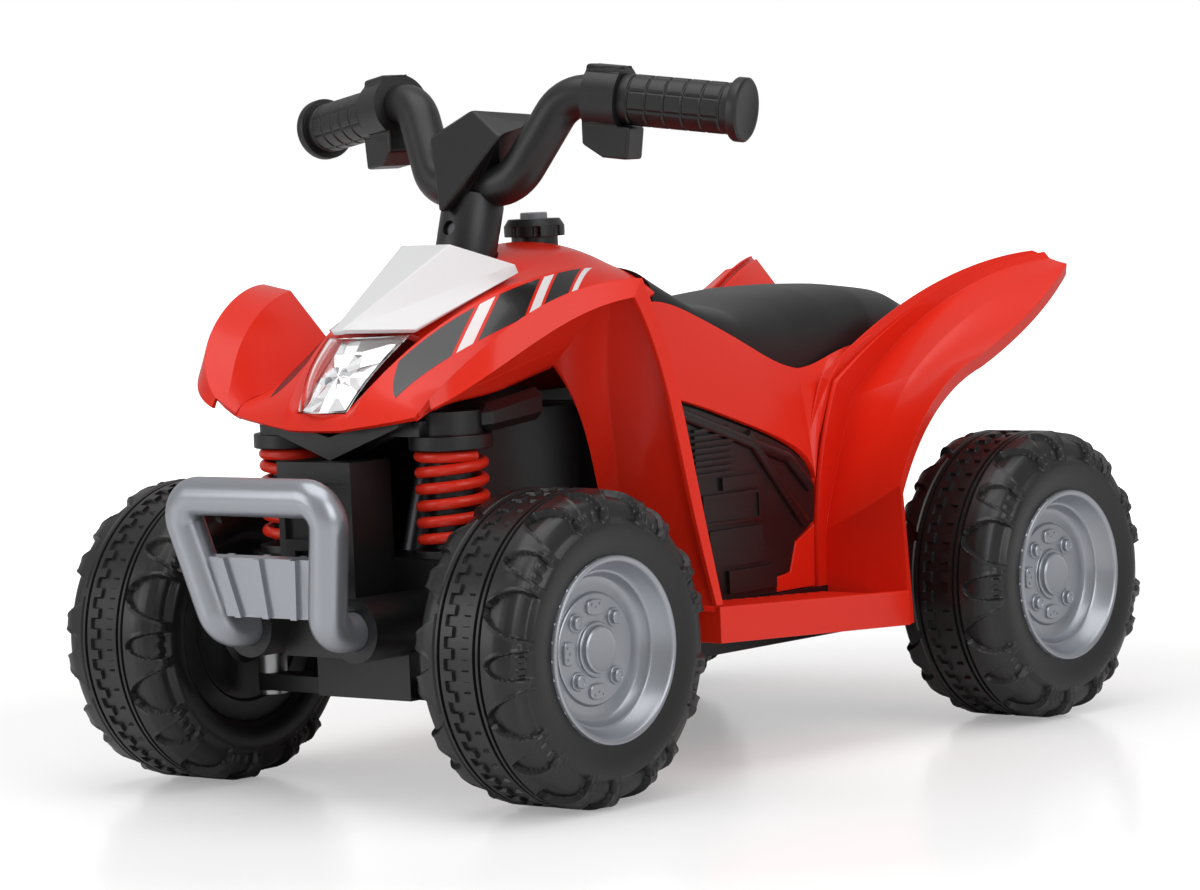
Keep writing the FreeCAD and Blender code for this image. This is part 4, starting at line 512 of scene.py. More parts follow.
def weights_along(breaks, count, samples):
    """Weights of a row's poles at places that crowd towards the ends of each run between two breaks."""
    ends = [0] + list(breaks) + [count - 1]
    parts = []
    for first, last in zip(ends, ends[1:]):
        size = last - first + 1
        steps = max(LEAST_SAMPLES, round(samples * (size - 1) / (count - 1)))
        places = 0.5 - 0.5 * np.cos(np.linspace(0, np.pi, steps))
        part = np.zeros((len(places), count))
        part[:, first:last + 1] = basis(size, min(3, size - 1), places)
        parts.append(part if last == count - 1 else part[:-1])
    return np.concatenate(parts)


def eased(points, weights, axis):
    """Points with the sharp turn at each inner break shared with its two neighbours."""
    points = np.moveaxis(points.copy(), axis, 0)
    for index in range(1, len(points) - 1):
        if weights[index].max() > ON_BREAK:
            points[index] = 0.5 * points[index] + 0.25 * (points[index - 1] + points[index + 1])
    return np.moveaxis(points, 0, axis)


def sheet(rows, creases, folds, across, along):
    """Points of a panel: sum of pole * weight across * weight along, broken at its creases and folds."""
    crosswise = weights_along(creases, len(rows), across)
    lengthwise = weights_along(folds, rows.shape[1], along)
    points = np.einsum("ui,ijk,vj->uvk", crosswise, rows, lengthwise)
    return eased(eased(points, crosswise, 0), lengthwise, 1)


print("weights of a crowned row", np.round(basis(3, 2, [0.5]), 3))

# %% [markdown]
# A moulding has a wall, and its edge shows. A Solidify modifier could add it, but leaves the wall uneven
# where strips meet at an angle; so the poles themselves are moved inward, mitred as a joiner would, and a
# second sheet and four rims close the skin. The rims' corners are drawn in a little, as a mould leaves
# them round.

# %% Walls
MITRE_LIMIT = 0.6
RIM_EASE = 0.2
EDGES = (np.s_[0], np.s_[-1], np.s_[:, 0], np.s_[:, -1])


def inner_rows(rows, wall):
    """The pole grid moved a wall's thickness to the hollow side, mitred where strips meet at an angle."""
    count, columns = rows.shape[:2]
    moved = np.empty_like(rows)
    for i in range(count):
        for j in range(columns):
            lows = [low for low in (i - 1, i) if 0 <= low < count - 1]
            nears = [near for near in (j - 1, j) if 0 <= near < columns - 1]
            turns = [np.cross(rows[i, near + 1] - rows[i, near], rows[low + 1, j] - rows[low, j])
                     for low in lows for near in nears]
            normals = np.array([turn / np.linalg.norm(turn) for turn in turns])
            middle = normals.sum(axis=0)
            middle /= np.linalg.norm(middle)
            moved[i, j] = rows[i, j] - middle * wall / max((normals @ middle).min(), MITRE_LIMIT)
    return moved


def rims(outer, inner):
    """The four narrow grids between the edges of two sheets."""
    return [np.stack([outer[edge], inner[edge]]) for edge in EDGES]


def wall_grids(rows, creases, folds, wall, across, along, flip=KEPT):
    """A panel as a closed skin: outer sheet, inner sheet and the rims between them, their corners eased."""
    outer = sheet(rows, creases, folds, across, along)
    inner = sheet(inner_rows(rows, wall), creases, folds, across, along)
    for edge in EDGES:
        outer_edge, inner_edge = outer[edge].copy(), inner[edge].copy()
        outer[edge] = (1 - RIM_EASE) * outer_edge + RIM_EASE * inner_edge
        inner[edge] = (1 - RIM_EASE) * inner_edge + RIM_EASE * outer_edge
    outer, inner = outer * flip, inner * flip
    return [(cloud, False, False) for cloud in [outer, inner] + rims(outer, inner)]


def red_panel(name, node, grids):
    """A finished piece of the red shell from its grids."""
    return finish_piece(joined(name, grids), "chassis", [node], RED, SHELL_SHARP)


print("shell wall", SHELL_WALL, "m")

# %% [markdown]
# The hood has openings for the lamp, the steering sleeve and the filler neck. Holes could be left out of
# the grid, but would then follow its squares; a cutter that is subtracted from the finished skin gives a
# clean round edge. A cutter is an outline pushed along a straight way.

# %% Cutters
DRILL_SIDES = 64
STEEP = 0.9


def ring(radius, count, squareness=2.0):
    """A closed section: a circle, or with more squareness a rounded square of the same radius."""
    angle = np.linspace(0, 2 * np.pi, count, endpoint=False)
    cosine, sine = np.cos(angle), np.sin(angle)
    size = (np.abs(cosine) ** squareness + np.abs(sine) ** squareness) ** (-1 / squareness)
    return radius * np.stack([cosine * size, sine * size], -1)


def outline_cutter(name, outline, shift):
    """A closed prism from an outline pushed by a shift."""
    outline = np.asarray(outline, float)
    count = len(outline)
    mesh = bpy.data.meshes.new(name)
    sides = [(i, (i + 1) % count, (i + 1) % count + count, i + count) for i in range(count)]
    mesh.from_pydata(np.concatenate([outline, outline + shift]).tolist(), [],
                     sides + [tuple(range(count))[::-1], tuple(range(count, 2 * count))])
    cutter = bpy.data.objects.new(name, mesh)
    bpy.context.scene.collection.objects.link(cutter)
    return weld(cutter)


def drilled(centre, way, radius, length):
    """A round cutter that starts at a point and runs a given way."""
    way = np.asarray(way, float) / np.linalg.norm(way)
    side = np.cross(way, (1, 0, 0) if abs(way[0]) < STEEP else (0, 1, 0))
    side /= np.linalg.norm(side)
    circle = ring(radius, DRILL_SIDES)
    outline = centre + circle[:, :1] * side + circle[:, 1:] * np.cross(way, side)
    return outline_cutter("drill", outline, way * length)


def cut_out(piece, cutter):
    """Applies a piece's difference with a cutter, then drops the cutter."""
    knife = piece.modifiers.new("knife", "BOOLEAN")
    knife.operation = "DIFFERENCE"
    knife.solver = "EXACT"
    knife.object = cutter
    made = bpy.data.meshes.new_from_object(piece.evaluated_get(bpy.context.evaluated_depsgraph_get()))
    piece.modifiers.clear()
    piece.data = made
    bpy.data.objects.remove(cutter)


print("drill", DRILL_SIDES, "sides")

# %% [markdown]
# The hood and tank top: one broad panel that runs from the nose over the tank to the saddle. Its flanks
# meet the top in two soft shoulders, which are the crease rows. Rows are given for the left half and
# mirrored.

# %% Hood
HOOD_EDGE = [(0.442, -1.185, 0.576), (0.455, -1.162, 0.599), (0.473, -1.111, 0.616),
             (0.485, -0.981, 0.620), (0.503, -0.764, 0.658), (0.509, -0.593, 0.700),
             (0.491, -0.417, 0.751), (0.461, -0.278, 0.793), (0.424, -0.130, 0.831)]
HOOD_FLANK = [(0.327, -1.204, 0.561), (0.327, -1.185, 0.591), (0.327, -1.148, 0.633),
              (0.364, -0.981, 0.709), (0.400, -0.764, 0.776), (0.430, -0.593, 0.823),
              (0.424, -0.417, 0.861), (0.400, -0.278, 0.869), (0.364, -0.130, 0.865)]
HOOD_SHOULDER = [(0.182, -1.222, 0.549), (0.170, -1.204, 0.582), (0.164, -1.190, 0.620),
                 (0.248, -0.981, 0.768), (0.291, -0.764, 0.848), (0.327, -0.593, 0.890),
                 (0.327, -0.417, 0.911), (0.303, -0.278, 0.911), (0.279, -0.130, 0.890)]
HOOD_BED = [(0.133, -1.227, 0.544), (0.133, -1.208, 0.578), (0.133, -1.176, 0.603),
            (0.206, -0.981, 0.738), (0.230, -0.764, 0.852), (0.242, -0.579, 0.899),
            (0.242, -0.417, 0.945), (0.218, -0.278, 0.958), (0.194, -0.130, 0.911)]
HOOD_CREST = [(0, -1.231, 0.540), (0, -1.213, 0.574), (0, -1.157, 0.603), (0, -1.046, 0.738),
              (0, -0.764, 0.949), (0, -0.579, 0.985), (0, -0.417, 1.012), (0, -0.278, 1.015),
              (0, -0.130, 0.972)]
LENS_SIDE = [(0.121, -1.190, 0.589), (0.152, -1.144, 0.662), (0.200, -0.991, 0.768)]
LENS_CHEEK = [(0.061, -1.213, 0.586), (0.085, -1.240, 0.671), (0.097, -1.083, 0.768)]
LENS_KEEL = [(0, -1.218, 0.584), (0, -1.280, 0.671), (0, -1.130, 0.768)]
LAMP_SILL = 0.3 * MM
LAMP_START_SHARE = 2.0
LAMP_REACH_SHARE = 1.06
COLUMN_HOLE_RADIUS = 20 * MM
COLUMN_HOLE_LENGTH = 120 * MM
FILLER_HOLE_RADIUS = 14.9 * MM
FILLER_HOLE_LENGTH = 40 * MM
FILLER_HOLE_DROP = 5 * MM

steer = next(joint for joint in frame["joints"] if joint["name"] == "steer")
column_axis = np.array(steer["axis"])
column_point = np.array(steer["pos_m"])
filler_low, filler_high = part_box("filler_cap")
filler_middle = np.array([(filler_low.x + filler_high.x) / 2, (filler_low.y + filler_high.y) / 2,
                          filler_low.z - FILLER_HOLE_DROP])

hood_rows = both_sides([HOOD_EDGE, HOOD_FLANK, HOOD_SHOULDER, HOOD_BED, HOOD_CREST])
hood = joined("hood", wall_grids(hood_rows, [2, 3, 5, 6], [], SHELL_WALL, across=72, along=120))
lamp_half = shell(LENS_SIDE)
lamp_half[0, 2] = shell([LENS_KEEL[0]])[0, 2] - LAMP_SILL
lamp_half[:, 1] = MIDDLE_Y - LAMP_START_SHARE * HALF_BASE
lamp_outline = np.concatenate([lamp_half, lamp_half[::-1] * MIRRORED])
cut_out(hood, outline_cutter("lamp_window", lamp_outline, (0, LAMP_REACH_SHARE * HALF_BASE, 0)))
hole_start = column_point - column_axis * COLUMN_HOLE_LENGTH / 2
cut_out(hood, drilled(hole_start, column_axis, COLUMN_HOLE_RADIUS, COLUMN_HOLE_LENGTH))
cut_out(hood, drilled(filler_middle, (0, 0, 1), FILLER_HOLE_RADIUS, FILLER_HOLE_LENGTH))
finish_piece(hood, "chassis", ["hood_cover"], RED, SHELL_SHARP)
print("hood faces", len(hood.data.polygons))

# %% [markdown]
# The tank's sides carry plain slanted bars, black and white in turn: thin foils that follow the hood's
# surface. They could be a pattern in the red finish, but foil has an edge of its own and its own gloss.
# Each bar is a square of places bent onto the flank of the hood.

# %% Tank stripes
FOIL = 0.15 * MM
BAR_LOW_SHARE, BAR_HIGH_SHARE = 0.55, 0.96
BAR_SLANT_SHARE = 0.13
NEAR_STEP = 1e-3
# Start and end along the flank, finish and slot of each bar.
BARS = [(0.14, 0.35, STICKER_BLACK, "black_plastic"), (0.365, 0.415, STICKER_WHITE, "white_plastic"),
        (0.43, 0.58, STICKER_BLACK, "black_plastic"), (0.595, 0.635, STICKER_WHITE, "white_plastic"),
        (0.65, 0.745, STICKER_BLACK, "black_plastic"), (0.76, 0.785, STICKER_WHITE, "white_plastic")]


def flank_points(u, v):
    """Points of the hood's left flank: sum of pole * weight at u across and v along."""
    across = basis(3, 2, u.ravel()).reshape(*u.shape, 3)
    along = basis(9, 3, v.ravel()).reshape(*v.shape, 9)
    return np.einsum("...i,ijk,...j->...k", across, hood_rows[:3], along)


def foil(start, end):
    """A thin closed bar on the flank: u from low to high, v from start to end, leaning by the slant."""
    s, t = np.meshgrid(np.linspace(0, 1, 16), np.linspace(0, 1, 40), indexing="ij")
    u = BAR_LOW_SHARE + (BAR_HIGH_SHARE - BAR_LOW_SHARE) * s
    v = start + (end - start) * t + BAR_SLANT_SHARE * s
    here = flank_points(u, v)
    normal = np.cross(flank_points(u, v + NEAR_STEP) - here, flank_points(u + NEAR_STEP, v) - here)
    normal /= np.linalg.norm(normal, axis=-1, keepdims=True)
    top, under = here + normal * FOIL, here - normal * FOIL
    return [top, under] + rims(top, under)


for number, (start, end, material, slot) in enumerate(BARS):
    for side, flip in SIDES.items():
        grids = [(cloud * flip, False, False) for cloud in foil(start, end)]
        piece = joined("stripe_%d_%s" % (number, side), grids)
        finish_piece(piece, "chassis", [], material, SHELL_SHARP)
print("stripes on each side", len(BARS))

# %% [markdown]
# The front fenders: petals that spread sideways over the wheels and fold down into the leg shields. Three
# ruled strips meet at two creases: the rolled lip, the broad face and the wheel-side face. On the real
# toy the root tucks under the hood; a thin tongue along it does the same here and closes the seam to
# light.

# %% Front fenders
TONGUE_WALL = 1.2 * MM
FENDER_REACH = (-5.0 * MM, 0, -1.0 * MM)
FENDER_LIP = [(0.545, -1.204, 0.597), (0.697, -1.190, 0.638), (0.792, -0.985, 0.753),
              (0.894, -0.814, 0.834), (0.952, -0.704, 0.844), (0.945, -0.600, 0.713),
              (0.964, -0.545, 0.451), (0.985, -0.500, 0.224), (1.000, -0.450, 0.052)]
FENDER_EDGE = [(0.530, -1.197, 0.622), (0.652, -1.177, 0.697), (0.777, -0.994, 0.845),
               (0.875, -0.773, 0.894), (0.945, -0.662, 0.890), (0.945, -0.553, 0.713),
               (0.964, -0.498, 0.451), (0.985, -0.458, 0.224), (1.000, -0.421, 0.052)]
FENDER_CREASE = [(0.490, -1.190, 0.602), (0.530, -1.130, 0.660), (0.620, -1.050, 0.745),
                 (0.730, -0.830, 0.850), (0.800, -0.665, 0.872), (0.660, -0.585, 0.700),
                 (0.655, -0.545, 0.450), (0.665, -0.505, 0.220), (0.680, -0.475, 0.052)]
FENDER_ROOT = [(0.452, -1.179, 0.582), (0.486, -1.109, 0.626), (0.493, -0.923, 0.613),
               (0.511, -0.761, 0.665), (0.512, -0.674, 0.680), (0.582, -0.620, 0.578),
               (0.579, -0.565, 0.367), (0.579, -0.500, 0.198), (0.579, -0.463, 0.052)]


def tongue(rows, reach):
    """Two rows for a thin lip that starts inside a panel's last strip and reaches on under the next panel."""
    hollow = inner_rows(rows, SHELL_WALL)
    start = 0.5 * hollow[-1] + 0.2 * hollow[-2] + 0.2 * rows[-1] + 0.1 * rows[-2]
    return np.stack([start, hollow[-1] + reach])


fender_rows = shell([FENDER_LIP, FENDER_EDGE, FENDER_CREASE, FENDER_ROOT])
fender_tongue = tongue(fender_rows[:, :5], FENDER_REACH)
for side, flip in SIDES.items():
    grids = wall_grids(fender_rows, [1, 2], [4], SHELL_WALL, across=48, along=150, flip=flip)
    grids += wall_grids(fender_tongue, [], [], TONGUE_WALL, across=10, along=90, flip=flip)
    piece = red_panel("fender_" + side, "front_fender_" + side, grids)
print("front fender faces", len(piece.data.polygons))

# %% [markdown]
# The side panels run from the tank down to the engine covers and back under the saddle's edge. Each is
# one smooth strip with a single fold, where the flank turns up towards the rear shield.

# %% Side panels
SIDE_LOW = [(0.566, -0.612, 0.566), (0.570, -0.542, 0.584), (0.570, -0.384, 0.587),
            (0.556, -0.147, 0.554), (0.558, 0.079, 0.487), (0.557, 0.307, 0.421), (0.558, 0.448, 0.359),
            (0.548, 0.469, 0.299), (0.545, 0.498, 0.441), (0.520, 0.571, 0.567), (0.507, 0.683, 0.632),
            (0.507, 0.847, 0.693)]
SIDE_MID = [(0.553, -0.637, 0.620), (0.552, -0.567, 0.640), (0.555, -0.416, 0.667),
            (0.510, -0.177, 0.703), (0.508, 0.050, 0.631), (0.511, 0.269, 0.553), (0.515, 0.406, 0.476),
            (0.507, 0.475, 0.464), (0.505, 0.533, 0.521), (0.487, 0.599, 0.593), (0.475, 0.704, 0.640),
            (0.482, 0.852, 0.674)]
SIDE_TOP = [(0.514, -0.642, 0.682), (0.508, -0.569, 0.713), (0.515, -0.417, 0.729),
            (0.432, -0.185, 0.841), (0.434, 0.051, 0.760), (0.440, 0.271, 0.674), (0.447, 0.419, 0.605),
            (0.451, 0.499, 0.595), (0.452, 0.560, 0.597), (0.455, 0.630, 0.617), (0.460, 0.740, 0.645),
            (0.468, 0.858, 0.655)]
side_rows = shell([SIDE_LOW, SIDE_MID, SIDE_TOP])
for side, flip in SIDES.items():
    grids = wall_grids(side_rows, [], [7], SHELL_WALL, across=30, along=130, flip=flip)
    piece = red_panel("flank_" + side, "side_panel_" + side, grids)
print("side panel faces", len(piece.data.polygons))

# %% [markdown]
# The rear shields stand behind the feet and sweep up and back into pointed fender tips, folding twice on
# the way. The foot goes down behind the footboard's end, and a tongue along the front edge reaches under
# the neighbouring panel, so that no light shows through the seams.

# %% Rear shields
FOOT_LIFT = 0.5 * MM
REAR_REACH = (-3.0 * MM, -8.0 * MM, 3.0 * MM)
REAR_LIP = [(0.990, 0.477, 0.015), (0.982, 0.455, 0.262), (0.953, 0.622, 0.506), (0.934, 0.919, 0.570),
            (0.906, 1.113, 0.621), (0.917, 1.292, 0.703), (0.873, 1.456, 0.800)]
REAR_EDGE = [(1.000, 0.449, 0.015), (0.994, 0.428, 0.287), (0.967, 0.594, 0.537), (0.948, 0.894, 0.603),
             (0.920, 1.089, 0.655), (0.930, 1.277, 0.736), (0.885, 1.449, 0.832)]
REAR_CREASE = [(0.788, 0.454, 0.015), (0.776, 0.477, 0.219), (0.739, 0.593, 0.409), (0.727, 0.778, 0.557),
               (0.739, 0.926, 0.662), (0.758, 1.134, 0.755), (0.824, 1.463, 0.840)]
REAR_ROOT = [(0.556, 0.485, 0.015), (0.533, 0.525, 0.152), (0.493, 0.625, 0.319), (0.509, 0.704, 0.502),
             (0.520, 0.920, 0.660), (0.612, 1.168, 0.826), (0.782, 1.470, 0.848)]
REAR_STEP = [(0.552, 0.455, 0.015), (0.552, 0.470, 0.165), (0.552, 0.486, 0.375), (0.552, 0.588, 0.553),
             (0.506, 0.876, 0.689), (0.599, 1.167, 0.847), (0.762, 1.467, 0.866)]
rear_rows = shell([REAR_LIP, REAR_EDGE, REAR_CREASE, REAR_ROOT, REAR_STEP])
rear_rows[:, 0, 2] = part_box("footboard_left")[0].z + FOOT_LIFT
rear_tongue = tongue(rear_rows, REAR_REACH)
for side, flip in SIDES.items():
    grids = wall_grids(rear_rows, [1, 2, 3], [1, 3], SHELL_WALL, across=64, along=140, flip=flip)
    grids += wall_grids(rear_tongue, [], [1, 3], TONGUE_WALL, across=12, along=140, flip=flip)
    piece = red_panel("rear_shield_" + side, "rear_fender_" + side, grids)
print("rear shield faces", len(piece.data.polygons))

# %% [markdown]
# The tail panel is the trough behind the saddle, with a lip turned down at its end. It spans both sides,
# so its rows are mirrored like the hood's, with a crease on each side where the wall meets the deck.

# %% Tail
TAIL_RIDGE = [(0.510, 0.866, 0.683), (0.522, 0.962, 0.727), (0.570, 1.154, 0.809), (0.662, 1.352, 0.855),
              (0.715, 1.451, 0.863), (0.703, 1.468, 0.815)]
TAIL_WALL = [(0.440, 0.866, 0.597), (0.442, 0.995, 0.614), (0.461, 1.181, 0.635), (0.485, 1.352, 0.660),
             (0.500, 1.452, 0.694), (0.490, 1.472, 0.644)]
TAIL_DECK = [(0, 0.866, 0.589), (0, 0.995, 0.606), (0, 1.181, 0.627), (0, 1.352, 0.655),
             (0, 1.455, 0.678), (0, 1.475, 0.628)]
tail_rows = both_sides([TAIL_RIDGE, TAIL_WALL, TAIL_DECK])
tail = red_panel("tail", "tail_panel", wall_grids(tail_rows, [1, 3], [4], SHELL_WALL, across=60, along=90))
print("tail faces", len(tail.data.polygons))

# %% [markdown]
# The white nose: flat facets that meet in crisp folds, like folded card with rounded edges. Every inner
# row is a crease, so each strip between two rows stays flat.

# %% Nose panel
NOSE_WALL = 2.5 * MM
NOSE_FOOT = [(0.218, -0.977, 0.782), (0.294, -0.606, 0.906)]
NOSE_FOLD = [(0.036, -1.113, 0.789), (0.285, -0.611, 0.928)]
NOSE_CREST = [(0.018, -1.123, 0.785), (0.121, -0.741, 0.987)]
nose_half = shell([NOSE_FOOT, NOSE_FOLD, NOSE_CREST])
nose_rows = np.concatenate([nose_half, nose_half[::-1] * MIRRORED])
nose = joined("nose", wall_grids(nose_rows, [1, 2, 3, 4], [], NOSE_WALL, across=60, along=40))
finish_piece(nose, "chassis", ["nose_panel"], WHITE, SHELL_SHARP)
print("nose faces", len(nose.data.polygons))

# %% [markdown]
# The lamp: a clear lens over a bright bowl cut in the facets of a star. A bump pattern would look flat
# behind the lens, so the facets are real: spokes run from the bowl's middle to the outline of the
# reflector, every second one raised, and rings join them. A very small smoothing angle keeps each facet a
# mirror of its own.

# %% Lens and reflector
LENS_WALL = 2 * MM
BOWL_DEPTH = 6 * MM
RIDGE_SHARE = 0.4
BOWL_WALL = 2.5 * MM
FACET_SHARP = 3
STAR_POINTS = 8
STAR_RING_SHARES = [0.0, 0.28, 0.62, 1.0]
REFLECTOR_SIDE = [(0.103, -1.180, 0.591), (0.112, -1.120, 0.662), (0.145, -0.985, 0.755)]
REFLECTOR_CHEEK = [(0.055, -1.198, 0.589), (0.061, -1.160, 0.671), (0.073, -1.055, 0.755)]
REFLECTOR_KEEL = [(0, -1.201, 0.587), (0, -1.165, 0.671), (0, -1.090, 0.755)]
reflector_rows = both_sides([REFLECTOR_SIDE, REFLECTOR_CHEEK, REFLECTOR_KEEL])


def star_bowl(rows, depth, ridge):
    """At t along each spoke: sunk by depth * (1 - t squared), with ridge * 4 t (1 - t) up or down in turn."""
    spokes = np.arange(2 * STAR_POINTS)
    ways = np.stack([np.cos(spokes * np.pi / STAR_POINTS), np.sin(spokes * np.pi / STAR_POINTS)], -1)
    ways /= np.abs(ways).max(axis=1, keepdims=True)
    t = np.array(STAR_RING_SHARES)[:, None]
    u, v = 0.5 + 0.5 * t * ways[:, 0], 0.5 + 0.5 * t * ways[:, 1]
    across = basis(len(rows), 3, u.ravel()).reshape(*u.shape, -1)
    along = basis(rows.shape[1], 2, v.ravel()).reshape(*v.shape, -1)
    points = np.einsum("...i,ijk,...j->...k", across, rows, along)
    points[..., 1] += depth * (1 - t ** 2) + ridge * np.where(spokes % 2, 1, -1) * 4 * t * (1 - t)
    return points


lens_rows = both_sides([LENS_SIDE, LENS_CHEEK, LENS_KEEL])
lens = joined("lens", wall_grids(lens_rows, [], [], LENS_WALL, across=48, along=40))
finish_piece(lens, "chassis", ["headlight_lens"], LENS, SHELL_SHARP)
facets = star_bowl(reflector_rows, BOWL_DEPTH, RIDGE_SHARE * BOWL_DEPTH)
backing = facets + (0, BOWL_WALL, 0)
bowl_rim = np.stack([facets[-1], backing[-1]])
bowl = joined("reflector", [(cloud, False, True) for cloud in (facets, backing, bowl_rim)])
finish_piece(bowl, "chassis", ["headlight_reflector"], REFLECTOR, FACET_SHARP)
print("reflector faces", len(bowl.data.polygons))

# %% [markdown]
# The saddle is hard plastic with a satin skin: arched sections that dip for the rider and rise at the
# back. It could be sculpted; sections are surer, because the solid's own stations can be used. A part of
# the spline's smoothness is mixed into the stations, so that the crown flows and still passes near each
# of them.

# %% Seat
SEAT_SHARP = 40
ARCH_POWER = 0.62
SMOOTH_SHARE = 0.35
SEAT_RINGS, SEAT_AROUND = 90, 60
SEAT_FLOOR_ROWS = 5
# Place along, half width, base and crown of each station, as shares of the shell.
SEAT = [(-0.124, 0.405, 0.800, 0.905), (0.040, 0.417, 0.745, 0.815), (0.240, 0.417, 0.675, 0.776),
        (0.500, 0.427, 0.574, 0.800), (0.700, 0.433, 0.606, 0.812), (0.930, 0.430, 0.634, 0.810),
        (1.140, 0.382, 0.640, 0.785), (1.310, 0.270, 0.660, 0.715)]


def seat_points():
    """Squared-off arches: x = cos(a) ** power * width, z = base + sin(a) ** power * (crown - base)."""
    stations = np.asarray(SEAT, float)
    place = np.linspace(0, 1, SEAT_RINGS)
    knots = np.linspace(0, 1, len(stations))
    smooth = basis(len(stations), 3, place) @ stations
    exact = np.stack([np.interp(place, knots, column) for column in stations.T], -1)
    along, width, low, high = (SMOOTH_SHARE * smooth + (1 - SMOOTH_SHARE) * exact).T
    angle = np.linspace(0, np.pi, SEAT_AROUND)[None, :]
    x = np.sign(np.cos(angle)) * np.abs(np.cos(angle)) ** ARCH_POWER * width[:, None]
    z = low[:, None] + np.sin(angle) ** ARCH_POWER * (high - low)[:, None]
    return shell(np.stack([x, along[:, None] + 0 * angle, z], -1))


def arch_cap(arch):
    """A flat end from an arch's left half to its right half."""
    half = np.linspace(arch, arch[::-1], SEAT_FLOOR_ROWS)
    return half[:SEAT_FLOOR_ROWS // 2 + 1, :SEAT_AROUND // 2]


seat_arch = seat_points()
seat_floor = np.linspace(seat_arch[:, -1], seat_arch[:, 0], SEAT_FLOOR_ROWS, axis=1)
seat_clouds = (seat_arch, seat_floor, arch_cap(seat_arch[0]), arch_cap(seat_arch[-1]))
seat = joined("saddle", [(cloud, False, False) for cloud in seat_clouds])
finish_piece(seat, "chassis", ["seat"], SEAT_BLACK, SEAT_SHARP)
print("saddle faces", len(seat.data.polygons))

# %% [markdown]
# Wheels. A wheel is one hollow plastic blow moulding, tyre and disc together. Its outline comes first, in
# millimetres: from the inner bead over the tread to the outer bead, with its corners softened by a moving
# average. The points along it lie where the tread's steps will be, so that the steps come out crisp
# without a very fine grid.

# %% Tyre profile
TREAD_RADIUS = 93.0
SIDEWALL = [(27, 92.3), (33, 90.2), (37, 86.5), (39.2, 81.5), (39.9, 77), (40.9, 72), (40.4, 66), (38.8, 58)]
INNER_BEAD = [(-34, 56), (-38.4, 60)]
OUTER_BEAD = [(38.1, 52)]
TREAD_BAND = [(-18, TREAD_RADIUS), (18, TREAD_RADIUS)]
TREAD_EDGES = [3.4, 9.2, 12.6, 14.4, 16.6]
TREAD_FLATS = [0.0, 1.6, 5.4, 7.2, 10.9, 13.5, 15.5, 17.5, 18.5]
EDGE_SLOPE = 0.5
TOP_REACH, TOP_RADIUS = 20, 90
SOFT_SAMPLES = 400
SOFT_SPAN = 19
BEAD_SHARE = 0.42
BEAD_STEPS, SHOULDER_STEPS = 11, 32


def run_lengths(points):
    """The length along a row of points from its start to each of them."""
    return np.concatenate([[0], np.cumsum(np.linalg.norm(np.diff(points, axis=0), axis=1))])


def smooth_steps(points, samples):
    """Even samples along a row of points, by its length."""
    points = np.asarray(points, float)
    length = run_lengths(points)
    places = np.linspace(0, length[-1], samples)
    return np.stack([np.interp(places, length, column) for column in points.T], -1)


def tyre_profile():
    """(x, radius) in millimetres: corners averaged under a bell curve, sampled at the tread's own steps."""
    inner = [(-x, radius) for x, radius in SIDEWALL[:-1]][::-1]
    dense = smooth_steps(INNER_BEAD + inner + TREAD_BAND + SIDEWALL + OUTER_BEAD, SOFT_SAMPLES)
    bell = np.hanning(SOFT_SPAN) / np.hanning(SOFT_SPAN).sum()
    padded = [np.pad(column, SOFT_SPAN // 2, mode="edge") for column in dense.T]
    soft = np.stack([np.convolve(column, bell, mode="valid") for column in padded], -1)
    length = run_lengths(soft)
    top = (np.abs(soft[:, 0]) < TOP_REACH) & (soft[:, 1] > TOP_RADIUS)
    half = [edge + step for edge in TREAD_EDGES for step in (-EDGE_SLOPE / 2, EDGE_SLOPE / 2)] + TREAD_FLATS
    tread = np.interp(sorted(set(half + [-x for x in half])), soft[top, 0], length[top])
    bead = BEAD_SHARE * tread[0]
    rise = np.concatenate([np.linspace(0, bead, BEAD_STEPS, endpoint=False),
                           np.linspace(bead, tread[0], SHOULDER_STEPS, endpoint=False)])
    fall = length[-1] - rise[::-1] * (length[-1] - tread[-1]) / tread[0]
    places = np.concatenate([rise, tread, fall])
    return np.stack([np.interp(places, length, column) for column in soft.T], -1)


print("tyre profile points", len(tyre_profile()))

# %% [markdown]
# The tread could be built from hundreds of blocks; it is a height map on the turned outline instead,
# because the real one is a single skin pressed into a mould. Its middle is a band of castellated strips
# with a thin raised line on each side. The steps are short slopes, since a blow moulding has no sheer
# walls.

# %% Tread band
BLOCKS = 46
AROUND = 16 * BLOCKS
TREAD_LENGTH = 2 * np.pi * TREAD_RADIUS
TOOTH_SLOPE = 0.06


def ramp(value, slope):
    """0 below zero, 1 above, over a short slope."""
    return np.clip(value / slope + 0.5, 0, 1)


def off_middle(periods):
    """How far each place lies from the middle of its period, from 0 to a half."""
    return np.abs(periods % 1 - 0.5)


def band(reach, arc):
    """The middle band, 0 in its grooves and 1 on top: the highest of strip, teeth and line."""
    tooth = ramp(0.25 - off_middle(arc / TREAD_LENGTH * BLOCKS + 0.5 * BLOCKS / AROUND), TOOTH_SLOPE)
    tooth_start, strip_start, strip_end, line_start, line_end = TREAD_EDGES
    strip = ramp(reach - strip_start, EDGE_SLOPE) * ramp(strip_end - reach, EDGE_SLOPE)
    teeth = ramp(reach - tooth_start, EDGE_SLOPE) * (reach < strip_end) * tooth
    line = ramp(reach - line_start, EDGE_SLOPE) * ramp(line_end - reach, EDGE_SLOPE)
    return np.maximum(np.maximum(strip, teeth), line)


print("tread blocks", BLOCKS)

# %% [markdown]
# Round-ended scoops of two sizes open both shoulders in turn, each with a raised lip, and small castles
# step the sidewall between them. The scoops widen as a parabola from their tips, which gives the petal
# form of the mould.

